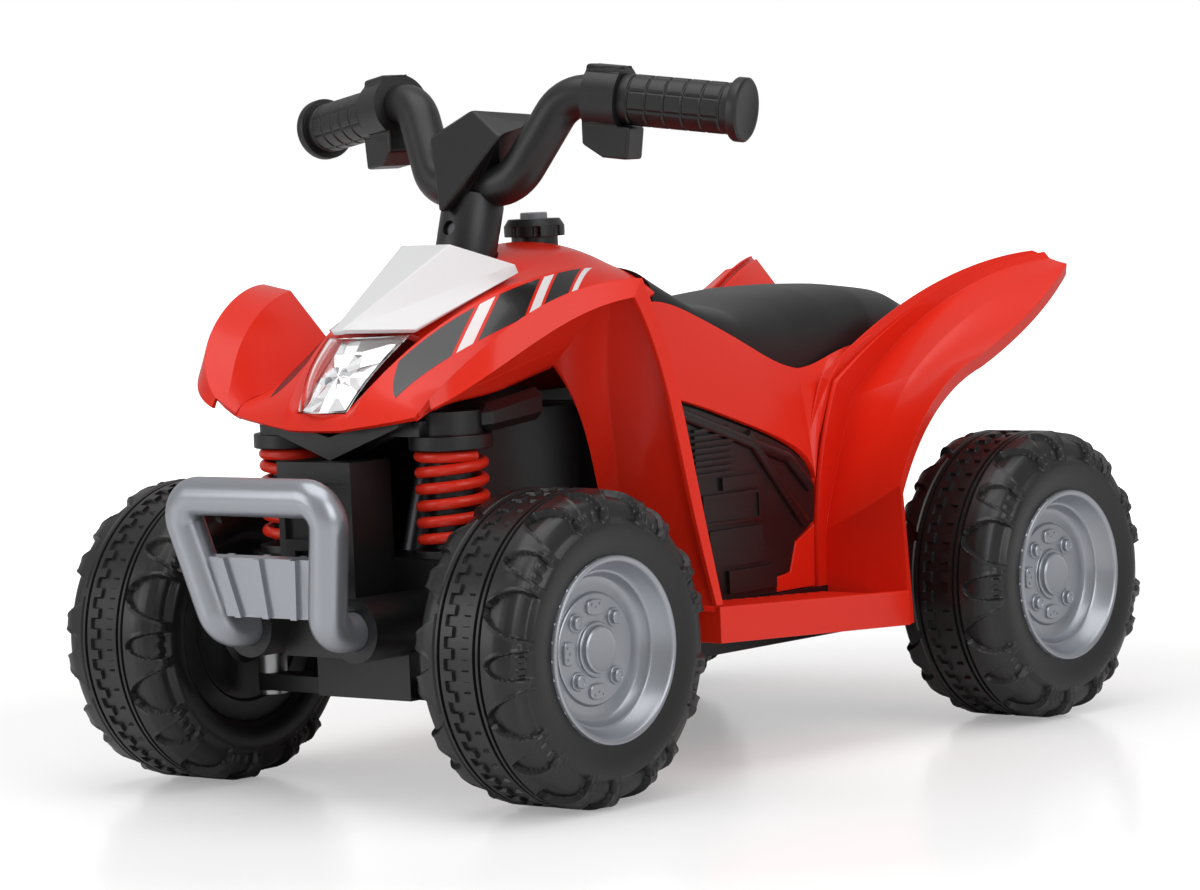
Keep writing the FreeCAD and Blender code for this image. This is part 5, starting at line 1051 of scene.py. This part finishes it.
# %% Scoops and castles
SCOOPS = 9
SCOOP_PITCH = TREAD_LENGTH / SCOOPS
# Start within the pitch, depth, half width at the mouth and reach of the tip, for each size of scoop.
SCOOP_KINDS = [(0.0, 4.2, 14.0, 18.0), (0.5, 3.0, 8.0, 21.0)]
SCOOP_REACH = 36.0
SCOOP_SLOPE = 0.8
SCOOP_END, SCOOP_FADE = 74.0, 3.0
SCOOP_RISE_SHARE = 0.3
LIP_HALF, LIP_HEIGHT = 1.1, 0.45
TREAD_DEPTH = 1.9
SHOULDER_START, SHOULDER_SLOPE = 17.5, 1.0
CASTLES = 8
CASTLE_LOW, CASTLE_HIGH, CASTLE_REACH = 77.0, 83.0, 30
CASTLE_SLOPE, CASTLE_EDGE = 0.8, 0.1
CASTLE_GAP_SHARE, CASTLE_GAP_SLOPE = 0.22, 0.04


def scoop(reach, radius, arc, start, depth, mouth, tip):
    """A hollow with a raised lip, whose half width is mouth * the root of the way from tip to shoulder."""
    offset = off_middle(arc / SCOOP_PITCH + start + 0.5) * SCOOP_PITCH
    way = (reach - tip) / (SCOOP_REACH - tip)
    half = mouth * np.sqrt(np.clip(way, 0, None))
    inside = ramp(half - offset, SCOOP_SLOPE) * (reach > tip)
    lip = ramp(LIP_HALF - np.abs(offset - half - LIP_HALF), SCOOP_SLOPE) * (reach > tip)
    open_end = np.clip((radius - SCOOP_END) / SCOOP_FADE, 0, 1)
    return open_end * (LIP_HEIGHT * lip - inside * depth * (1 - SCOOP_RISE_SHARE * np.clip(way, 0, 1)))


def castle(reach, radius, arc):
    """Square steps of 1 mm round the sidewall, left out near the large scoops."""
    step = ramp(0.25 - off_middle(arc / SCOOP_PITCH * CASTLES), CASTLE_EDGE)
    step = step * ramp(radius - CASTLE_LOW, CASTLE_SLOPE) * ramp(CASTLE_HIGH - radius, CASTLE_SLOPE)
    between = ramp(off_middle(arc / SCOOP_PITCH + 0.5) - CASTLE_GAP_SHARE, CASTLE_GAP_SLOPE)
    return step * between * (reach > CASTLE_REACH)


def tread_height(x, radius, angle):
    """Millimetres to move each point outward: band less the tread's depth, shoulders, scoops and castles."""
    reach, arc = np.abs(x), angle * TREAD_RADIUS
    height = TREAD_DEPTH * (band(reach, arc) - 1)
    for kind in SCOOP_KINDS:
        height = height + scoop(reach, radius, arc, *kind)
    shoulder = TREAD_DEPTH * ramp(reach - SHOULDER_START, SHOULDER_SLOPE)
    return np.where(radius > SCOOP_END, height + shoulder, 0) + castle(reach, radius, arc)


print("scoops of each size", SCOOPS)

# %% [markdown]
# Outline and heights together make the tyre: each point is moved along the outline's normal. Inside it
# sits the disc with its hub, a plain turned profile that starts and ends on the beads. All four wheels
# are the same moulding, with the face turned outward.

# %% Tyres
TYRE_SHARP = 38
TYRE_REACH, TYRE_TOP = 40.9, 92.95
DISC_STEPS = 96
INNER_DISC = [(-34, 56), (-33.2, 54), (-33.2, 44), (-31.5, 42), (-31.5, 20), (-34, 17), (-38.8, 15.5),
              (-39, 9), (-39, 5.1), (20, 5.1), (17, 15), (-29, 15), (-29, 52), (10, 60), (30, 58), (37, 53),
              (38.1, 52)]
WHEELS = {"front_left": (1, front_low, front_high), "rear_left": (1, rear_low, rear_high),
          "front_right": (-1, *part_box("tyre_front_right")), "rear_right": (-1, *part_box("tyre_rear_right"))}


def around_x(x, radius, angle):
    """Points at a radius and an angle round the X axis."""
    return np.stack([x + 0 * angle, radius * np.cos(angle), radius * np.sin(angle)], -1)


def turned(profile, steps):
    """Points of a profile of (x, radius) in millimetres, carried round the X axis."""
    profile = np.asarray(profile, float) * MM
    angle = np.linspace(0, 2 * np.pi, steps, endpoint=False)[:, None]
    return around_x(profile[None, :, 0], profile[None, :, 1], angle)


def tyre_points():
    """The outline turned round the axle, each point moved along its normal by the tread's height."""
    profile = tyre_profile()
    slope = np.gradient(profile, axis=0)
    slope /= np.linalg.norm(slope, axis=1, keepdims=True)
    angle = np.linspace(0, 2 * np.pi, AROUND, endpoint=False)[:, None]
    x, radius = profile[None, :, 0], profile[None, :, 1]
    lift = tread_height(x, radius, angle)
    x = np.clip(x - lift * slope[None, :, 1], -TYRE_REACH, TYRE_REACH)
    radius = np.minimum(radius + lift * slope[None, :, 0], TYRE_TOP)
    return around_x(x, radius, angle) * MM


def at_wheel(cloud, corner):
    """Points moved from the origin to a wheel, its face outward."""
    way, low, high = WHEELS[corner]
    middle = (np.array(low) + np.array(high)) / 2
    return cloud * (way, 1, 1) + middle


tyre_clouds = tyre_points(), turned(INNER_DISC, DISC_STEPS)
for corner in WHEELS:
    grids = [(at_wheel(cloud, corner), True, False) for cloud in tyre_clouds]
    piece = joined("tyre_" + corner + "_moulded", grids)
    finish_piece(piece, "wheel_" + corner, ["tyre_" + corner], TYRE_BLACK, TYRE_SHARP)
print("tyre faces", len(piece.data.polygons))

# %% [markdown]
# The hubcaps: silver dishes with a bright lip, a cone, steps and a raised middle, turned in one go like
# the real spun or moulded cap. The four bolt heads on washers are small turned studs, and the three
# plates between them, each with three dots, are rounded squares that sit on the dish.

# %% Hubcaps
CAP_SHARP = 30
CAP_STEPS, CAP_BACK_STEPS, STUD_STEPS, PLATE_STEPS = 256, 96, 24, 32
CAP_PROFILE = [(37.4, 55.0), (39.8, 54.9), (40.6, 54.4), (41.0, 53.6), (40.9, 52.6), (40.4, 51.7),
               (39.4, 51.0), (37.6, 50.4), (36.8, 49.9), (29.5, 47.0), (28.6, 46.0), (28.4, 44.9),
               (24.5, 43.4), (22.9, 42.0), (22.4, 40.4), (22.2, 38.0), (22.4, 33.5), (23.0, 32.9),
               (24.2, 32.6), (24.6, 32.0), (24.8, 16.6), (25.2, 16.2), (26.6, 16.0), (27.0, 15.4),
               (27.0, 14.2), (29.2, 13.6), (30.0, 12.6), (29.8, 11.6), (29.6, 10.5), (29.8, 0.0)]
CAP_BACK = [(37.4, 55.0), (37.4, 51.7), (27.1, 48.0), (20.0, 44.0), (20.0, 32.0), (22.0, 30.0),
            (22.0, 12.2), (27.0, 11.0), (27.0, 0.0)]
BOLTS, BOLT_CIRCLE = 4, 24.0
BOLT = [(24.6, 5.6), (25.6, 5.6), (26.0, 5.2), (26.0, 4.2), (28.2, 4.0), (28.8, 3.4), (28.8, 2.2),
        (28.2, 1.8), (28.2, 0)]
PLATES, PLATE_CIRCLE = 3, 24.5
PLATE_HALF_WIDTH, PLATE_HALF_LENGTH, PLATE_SQUARENESS = 4.6, 7.0, 3.0
PLATE_LEVELS = np.array([(24.6, 1.0), (26.0, 1.0), (26.5, 0.92), (26.6, 0.0)])
DOT = [(26.5, 0.8), (27.1, 0.7), (27.3, 0)]
DOT_ANGLE, DOT_STEP_OUT = 0.13, 2.0
QUARTER = math.pi / 2


def stud(angle, circle, steps):
    """A small turned stud: (height, radius) steps about a point of a circle round the axle."""
    return turned(steps, STUD_STEPS) + (0, circle * MM * math.cos(angle), circle * MM * math.sin(angle))


def dot_plate(angle):
    """A rounded square with a chamfered rim, its levels given as (height, share of the outline)."""
    outline = ring(1.0, PLATE_STEPS, PLATE_SQUARENESS)
    share = PLATE_LEVELS[:, 1][:, None]
    across = share * outline[None, :, 0] * PLATE_HALF_WIDTH + PLATE_CIRCLE
    along = share * outline[None, :, 1] * PLATE_HALF_LENGTH
    x = PLATE_LEVELS[:, 0][:, None] + 0 * across
    return np.stack([x, across * math.cos(angle) - along * math.sin(angle),
                     across * math.sin(angle) + along * math.cos(angle)], -1) * MM


def hubcap_grids():
    """Dish, back, bolts, plates and dots about the origin."""
    grids = [(turned(CAP_PROFILE, CAP_STEPS), True, False), (turned(CAP_BACK, CAP_BACK_STEPS), True, False)]
    for index in range(BOLTS):
        grids.append((stud((index + 0.5) * QUARTER, BOLT_CIRCLE, BOLT), True, False))
    for index in range(PLATES):
        angle = index * QUARTER + QUARTER
        grids.append((dot_plate(angle), False, True))
        for side in (-1, 0, 1):
            circle = PLATE_CIRCLE + DOT_STEP_OUT * abs(side)
            grids.append((stud(angle + side * DOT_ANGLE, circle, DOT), True, False))
    return grids


for corner in WHEELS:
    grids = [(at_wheel(cloud, corner), rows, columns) for cloud, rows, columns in hubcap_grids()]
    piece = joined("hubcap_" + corner + "_dish", grids)
    finish_piece(piece, "wheel_" + corner, ["hubcap_" + corner], SILVER, CAP_SHARP)
print("hubcap faces", len(piece.data.polygons))

# %% [markdown]
# Springs: a round wire on a helix, with its last turns closing on the seats. A Screw modifier could wind
# it, but not with flat ends; so the height climbs only between them. The section is carried along the
# path by turning its frame as little as possible from point to point, which keeps the wire from twisting.

# %% Coil springs
WIRE = 3.3 * MM
WIRE_SIDES = 20
WIRE_SHARP = 40
TURNS = 6
TURN_STEPS = 48
FLAT_TURN = 0.4


def swept(path, section):
    """A ring of (across, up) points carried along a path, its frame kept from twisting."""
    way = np.gradient(path, axis=0)
    way /= np.linalg.norm(way, axis=1, keepdims=True)
    side = np.zeros_like(path)
    seed = np.array([0.0, 0.0, 1.0]) if abs(way[0, 2]) < STEEP else np.array([0.0, 1.0, 0.0])
    for index, tangent in enumerate(way):
        seed = seed - tangent * seed.dot(tangent)
        seed /= np.linalg.norm(seed)
        side[index] = seed
    other = np.cross(way, side)
    return path[:, None] + section[:, :1] * other[:, None] + section[:, 1:] * side[:, None]


def rod_grids(path, radius, sides):
    """A round rod along a path, its two ends closed to their middles."""
    tube = swept(path, ring(radius, sides))
    ends = [np.stack([tube[k], np.broadcast_to(path[k], tube[k].shape)]) for k in (0, -1)]
    return [(cloud, False, True) for cloud in (tube, *ends)]


turns = np.linspace(0, TURNS, TURN_STEPS * TURNS + 1)
climb = np.clip((turns - FLAT_TURN) / (TURNS - 2 * FLAT_TURN), 0, 1)
for side, flip in SIDES.items():
    low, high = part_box("spring_" + side)
    coil_radius = (high.x - low.x) / 2 - WIRE
    path = np.stack([(low.x + high.x) / 2 + flip[0] * coil_radius * np.cos(2 * np.pi * turns),
                     (low.y + high.y) / 2 + coil_radius * np.sin(2 * np.pi * turns),
                     low.z + WIRE + climb * (high.z - low.z - 2 * WIRE)], -1)
    piece = joined("coil_" + side, rod_grids(path, WIRE, WIRE_SIDES))
    finish_piece(piece, "chassis", ["spring_" + side], SPRING_RED, WIRE_SHARP)
print("coil faces", len(piece.data.polygons))

# %% [markdown]
# Handlebar. The bar is a bent tube: straight runs joined by arcs. A curve object with handles could be
# bent to the eye; here the path is worked out from the corner points and one bend radius, as a tube
# bender would read them, so it follows the solid exactly.

# %% Bent bar
BAR = [(1.046, -0.292, 1.297), (0.382, -0.440, 1.358), (0.190, -0.519, 1.130)]
BAR_RADIUS = 13 * MM
BAR_BEND = 24 * MM
BAR_STEP = 3 * MM
BEND_STEPS = 14


def bent(corners, bend, spacing):
    """Points along straight runs and arcs that touch them, about evenly spaced."""
    points = [corners[:1]]
    for before, corner, after in zip(corners, corners[1:], corners[2:]):
        back_way = (before - corner) / np.linalg.norm(before - corner)
        ahead = (after - corner) / np.linalg.norm(after - corner)
        half = math.acos(np.clip(back_way @ ahead, -1, 1)) / 2
        run = bend / math.tan(half)
        middle = (back_way + ahead) / np.linalg.norm(back_way + ahead) * bend / math.sin(half) + corner
        first = corner + back_way * run - middle
        last = corner + ahead * run - middle
        turn = np.linspace(0, 1, BEND_STEPS)[:, None]
        whole = math.pi - 2 * half
        arc = (np.sin((1 - turn) * whole) * first + np.sin(turn * whole) * last) / math.sin(whole)
        points.append(middle + arc)
    points.append(corners[-1:])
    line = np.concatenate(points)
    return smooth_steps(line, int(run_lengths(line)[-1] / spacing))


left_bar = shell(BAR)
bar_path = bent(np.concatenate([left_bar, left_bar[::-1] * MIRRORED]), BAR_BEND, BAR_STEP)
print("bar length", round(run_lengths(bar_path)[-1], 3), "m")

# %% [markdown]
# On the toy, bar and sleeve are one moulding. The sleeve is turned about the raked column and has a hole
# in front for its screw. The two are merged into one piece and only meet inside each other, as the weld
# line doesn't show.

# %% Bar and sleeve
BAR_SIDES = 40
BAR_SHARP = 35
SLEEVE = [(-35.7, 0), (-35.7, 18.6), (-35.1, 19), (20, 19), (23.5, 18.2), (25, 16), (25, 0)]
SLEEVE_STEPS = 96
SCREW_HOLE_START, SCREW_HOLE_RADIUS, SCREW_HOLE_LENGTH = 6.3 * MM, 4.6 * MM, 20 * MM


def on_column(profile, steps):
    """A profile of (height along the column from its reference point, radius) turned about the column."""
    cloud = turned(profile, steps)
    side = np.array([1.0, 0, 0])
    front = np.cross(column_axis, side)
    return column_point + cloud[..., :1] * column_axis + cloud[..., 1:2] * side + cloud[..., 2:] * front


def merged(piece, other):
    """The second piece's mesh added to the first, then dropped."""
    work = bmesh.new()
    work.from_mesh(piece.data)
    work.from_mesh(other.data)
    work.to_mesh(piece.data)
    work.free()
    bpy.data.objects.remove(other)
    return piece


sleeve = joined("sleeve", [(on_column(SLEEVE, SLEEVE_STEPS), True, False)])
hole_way = np.cross((1, 0, 0), column_axis)
hole_start = column_point + hole_way * SCREW_HOLE_START
cut_out(sleeve, drilled(hole_start, hole_way, SCREW_HOLE_RADIUS, SCREW_HOLE_LENGTH))
bar = joined("bar_and_sleeve", rod_grids(bar_path, BAR_RADIUS, BAR_SIDES))
finish_piece(merged(bar, sleeve), "steering", ["handlebar"], BLACK, BAR_SHARP)
print("bar and sleeve faces", len(bar.data.polygons))

# %% [markdown]
# Pad, switch housings, footboards and the rest of the plain mouldings already have their form in the
# frame; what they lack is the small round along each edge that catches the light. So each is a copy of
# its solid with its triangles merged, its flat faces joined and its edges rounded by a Bevel. On housings
# and pad only long edges are rounded, because the short edges of a round hole would hold back the rest.

# %% Softened copies
EDGE_ANGLE = 30
FLAT_ANGLE = 1.0
SOLID_SEAM = 2e-6
BEVEL_SEGMENTS = 2
BODIES = frame["record"]["behaviour"]["bodies"]
BODY_OF = {node: body for body, nodes in BODIES.items() for node in nodes}


def softened(node, material, width, straight):
    """A copy of a frame part whose sharp edges of at least the straight length are rounded."""
    copy = bpy.data.objects.new(node + "_moulded", frame["nodes"][node].data.copy())
    copy.data.materials.clear()
    bpy.context.scene.collection.objects.link(copy)
    work = bmesh.new()
    work.from_mesh(copy.data)
    bmesh.ops.remove_doubles(work, verts=work.verts, dist=SOLID_SEAM)
    bmesh.ops.dissolve_limit(work, angle_limit=math.radians(FLAT_ANGLE), verts=work.verts, edges=work.edges)
    rounded = work.edges.layers.float.new("bevel_weight_edge")
    for edge in work.edges:
        sharp = edge.calc_face_angle(0) > math.radians(EDGE_ANGLE)
        edge[rounded] = float(edge.calc_length() >= straight and sharp)
    work.to_mesh(copy.data)
    work.free()
    finish_piece(copy, BODY_OF[node], [node], material, EDGE_ANGLE)
    bevel = copy.modifiers.new("bevel", "BEVEL")
    bevel.width = width
    bevel.segments = BEVEL_SEGMENTS
    bevel.limit_method = "WEIGHT"
    bevel.harden_normals = True
    bevel.use_clamp_overlap = straight == 0


print("parts in the frame", len(BODY_OF))

# %% [markdown]
# The list of plain mouldings and metal parts, with the width of their rounds: wide on the battery's case,
# narrow on turned steel. Pieces inside the tub are dressed as well, since they show from behind and when
# the bike is taken apart.

# %% Plain mouldings
FRAME_PARTS = ["front_frame", "axle_beam", "chassis_frame", "shock_left", "shock_right", "engine_cover_left",
               "engine_cover_right", "filler_cap", "axle_spacer", "drive_sleeve", "gearbox"]
BAR_PARTS = ["switch_housing_left", "switch_housing_right", "handlebar_pad"]
BOARD_PARTS = ["footboard_left", "footboard_right", "gusset_left", "gusset_right"]
BUTTONS = ["horn_button", "throttle_button", "start_button"]
COLUMN_PARTS = ["column_screw", "column_tube", "steering_column"]
STEEL_PARTS = ["kingpins", "tie_plate", "knuckle_left", "knuckle_right", "axle_nut_front_left",
               "axle_nut_front_right", "rear_axle", "rear_axle_nuts", "motor"]
# Parts, slot, finish, width of the round and least length of a rounded edge.
SOFTENED = [(FRAME_PARTS, "black_plastic", BLACK, 0.9 * MM, 0),
            (BAR_PARTS, "black_plastic", BLACK, 1.8 * MM, 7 * MM),
            (BOARD_PARTS, "red_plastic", RED, 0.8 * MM, 0),
            (["bumper"], "silver_plastic", SILVER, 0.6 * MM, 0),
            (BUTTONS, "button_plastic", BUTTON_GREY, 0.8 * MM, 0),
            (COLUMN_PARTS, "steel", DARK_STEEL, 0.4 * MM, 0),
            (STEEL_PARTS, "steel", STEEL, 0.4 * MM, 0),
            (["battery"], "battery_case", CASE, 2 * MM, 0)]
for nodes, slot, material, width, straight in SOFTENED:
    for node in nodes:
        softened(node, material, width, straight)
print("softened copies", sum(len(row[0]) for row in SOFTENED))

# %% [markdown]
# Two thin black walls of the tub run from the shocks to the rear, between the tower and the engine covers. The
# real body is closed there, so that nobody looks through it from the side. The walls are partly painted shade:
# their black also stands in for the red inner sides of the shields, which lie in shade beside the springs. Flat
# plates are enough, because only a dark surface shows between the mouldings.

# %% Tub walls
TUB_WALL = 2 * MM
TUB_SHARP = 40
WALL_WIDTH_SHARE = 0.66
WALL_LOW = 112 * MM
WALL_TOP_GAP = 2 * MM
WALL_REAR_REACH = 40 * MM
wall_x = WALL_WIDTH_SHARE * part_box("front_frame")[1].x
wall_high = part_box("chassis_frame")[1].z - WALL_TOP_GAP
wall_ends = (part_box("shock_left")[1].y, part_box("engine_cover_left")[1].y + WALL_REAR_REACH)
wall_rows = np.array([[(wall_x, y, z) for z in (WALL_LOW, wall_high)] for y in wall_ends])
# The black plates are partly painted shade: they stand in for the shaded red inside the shields.
for side, flip in SIDES.items():
    piece = joined("tub_shade_wall_" + side, wall_grids(wall_rows, [], [], TUB_WALL, across=8, along=8, flip=flip))
    finish_piece(piece, "chassis", [], BLACK, TUB_SHARP)
print("tub walls from", round(wall_ends[0], 3), "to", round(wall_ends[1], 3))

# %% [markdown]
# Grips: soft tubes with ring grooves and lengthwise grooves that leave rounded squares, and a flanged
# end. The grooves are deep enough to throw shade, so they are cut into the radius and not painted as
# bump.

# %% Grips
GRIP_SHARP = 40
GRIP_RADIUS = 15.7
GRIP_BORE = 13.0
GRIP_START, GRIP_STOP = -76, -3.5
GRIP_ROWS, GRIP_STEPS = 200, 160
GROOVE_DEPTH = 0.9
RING_PITCH, RING_HALF_SHARE = 12.0, 0.06
RING_START, RING_STOP = -71, -8
LONG_GROOVES, LONG_HALF_SHARE = 8, 0.05
LONG_START, LONG_STOP = -70, -9.5
GRIP_FLANGE = [(-3.5, 15.7), (-3.5, 18.9), (-2.6, 19.5), (2.4, 19.5), (3.5, 18.2), (3.5, 15.0), (3.1, 14.0),
               (3.1, 0)]
grip_end, grip_bend = left_bar[0], left_bar[1]
grip_axis = (grip_end - grip_bend) / np.linalg.norm(grip_end - grip_bend)
grip_up = np.array([0, 0, 1.0]) - grip_axis * grip_axis[2]
grip_up /= np.linalg.norm(grip_up)
grip_rear = np.cross(grip_up, grip_axis)


def along_grip(cloud):
    """Points drawn along +X from the bar's left end, turned onto the grip."""
    return grip_end + cloud[..., :1] * grip_axis + cloud[..., 1:2] * grip_rear + cloud[..., 2:] * grip_up


def grip_points():
    """Radius over place along the grip and angle: a grid of shallow grooves cut into a round tube."""
    x = np.linspace(GRIP_START, GRIP_STOP, GRIP_ROWS)[None, :]
    angle = np.linspace(0, 2 * np.pi, GRIP_STEPS, endpoint=False)[:, None]
    rings = ramp(RING_HALF_SHARE - off_middle((x - GRIP_STOP) / RING_PITCH), RING_HALF_SHARE)
    rings = rings * (x > RING_START) * (x < RING_STOP)
    longs = ramp(LONG_HALF_SHARE - off_middle(angle / (2 * np.pi) * LONG_GROOVES), LONG_HALF_SHARE)
    longs = longs * (x > LONG_START) * (x < LONG_STOP)
    radius = GRIP_RADIUS - GROOVE_DEPTH * np.maximum(rings, longs)
    return around_x(x, radius, angle) * MM


grip_foot = turned([(GRIP_START, GRIP_BORE), (GRIP_START, GRIP_RADIUS)], GRIP_STEPS)
grip_clouds = grip_points(), turned(GRIP_FLANGE, GRIP_STEPS), grip_foot
for side, flip in SIDES.items():
    grids = [(along_grip(cloud) * flip, True, False) for cloud in grip_clouds]
    piece = joined("grip_" + side + "_sleeve", grids)
    finish_piece(piece, "steering", ["grip_" + side], GRIP_BLACK, GRIP_SHARP)
print("grip faces", len(piece.data.polygons))

# %% [markdown]
# Last, the dressed quad's box is printed, beside the frame's box printed at the start.
# The dressed quad may not outgrow its frame.

# %% Sizes
low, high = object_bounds()
print("visual box", [round(v, 4) for v in low], [round(v, 4) for v in high])
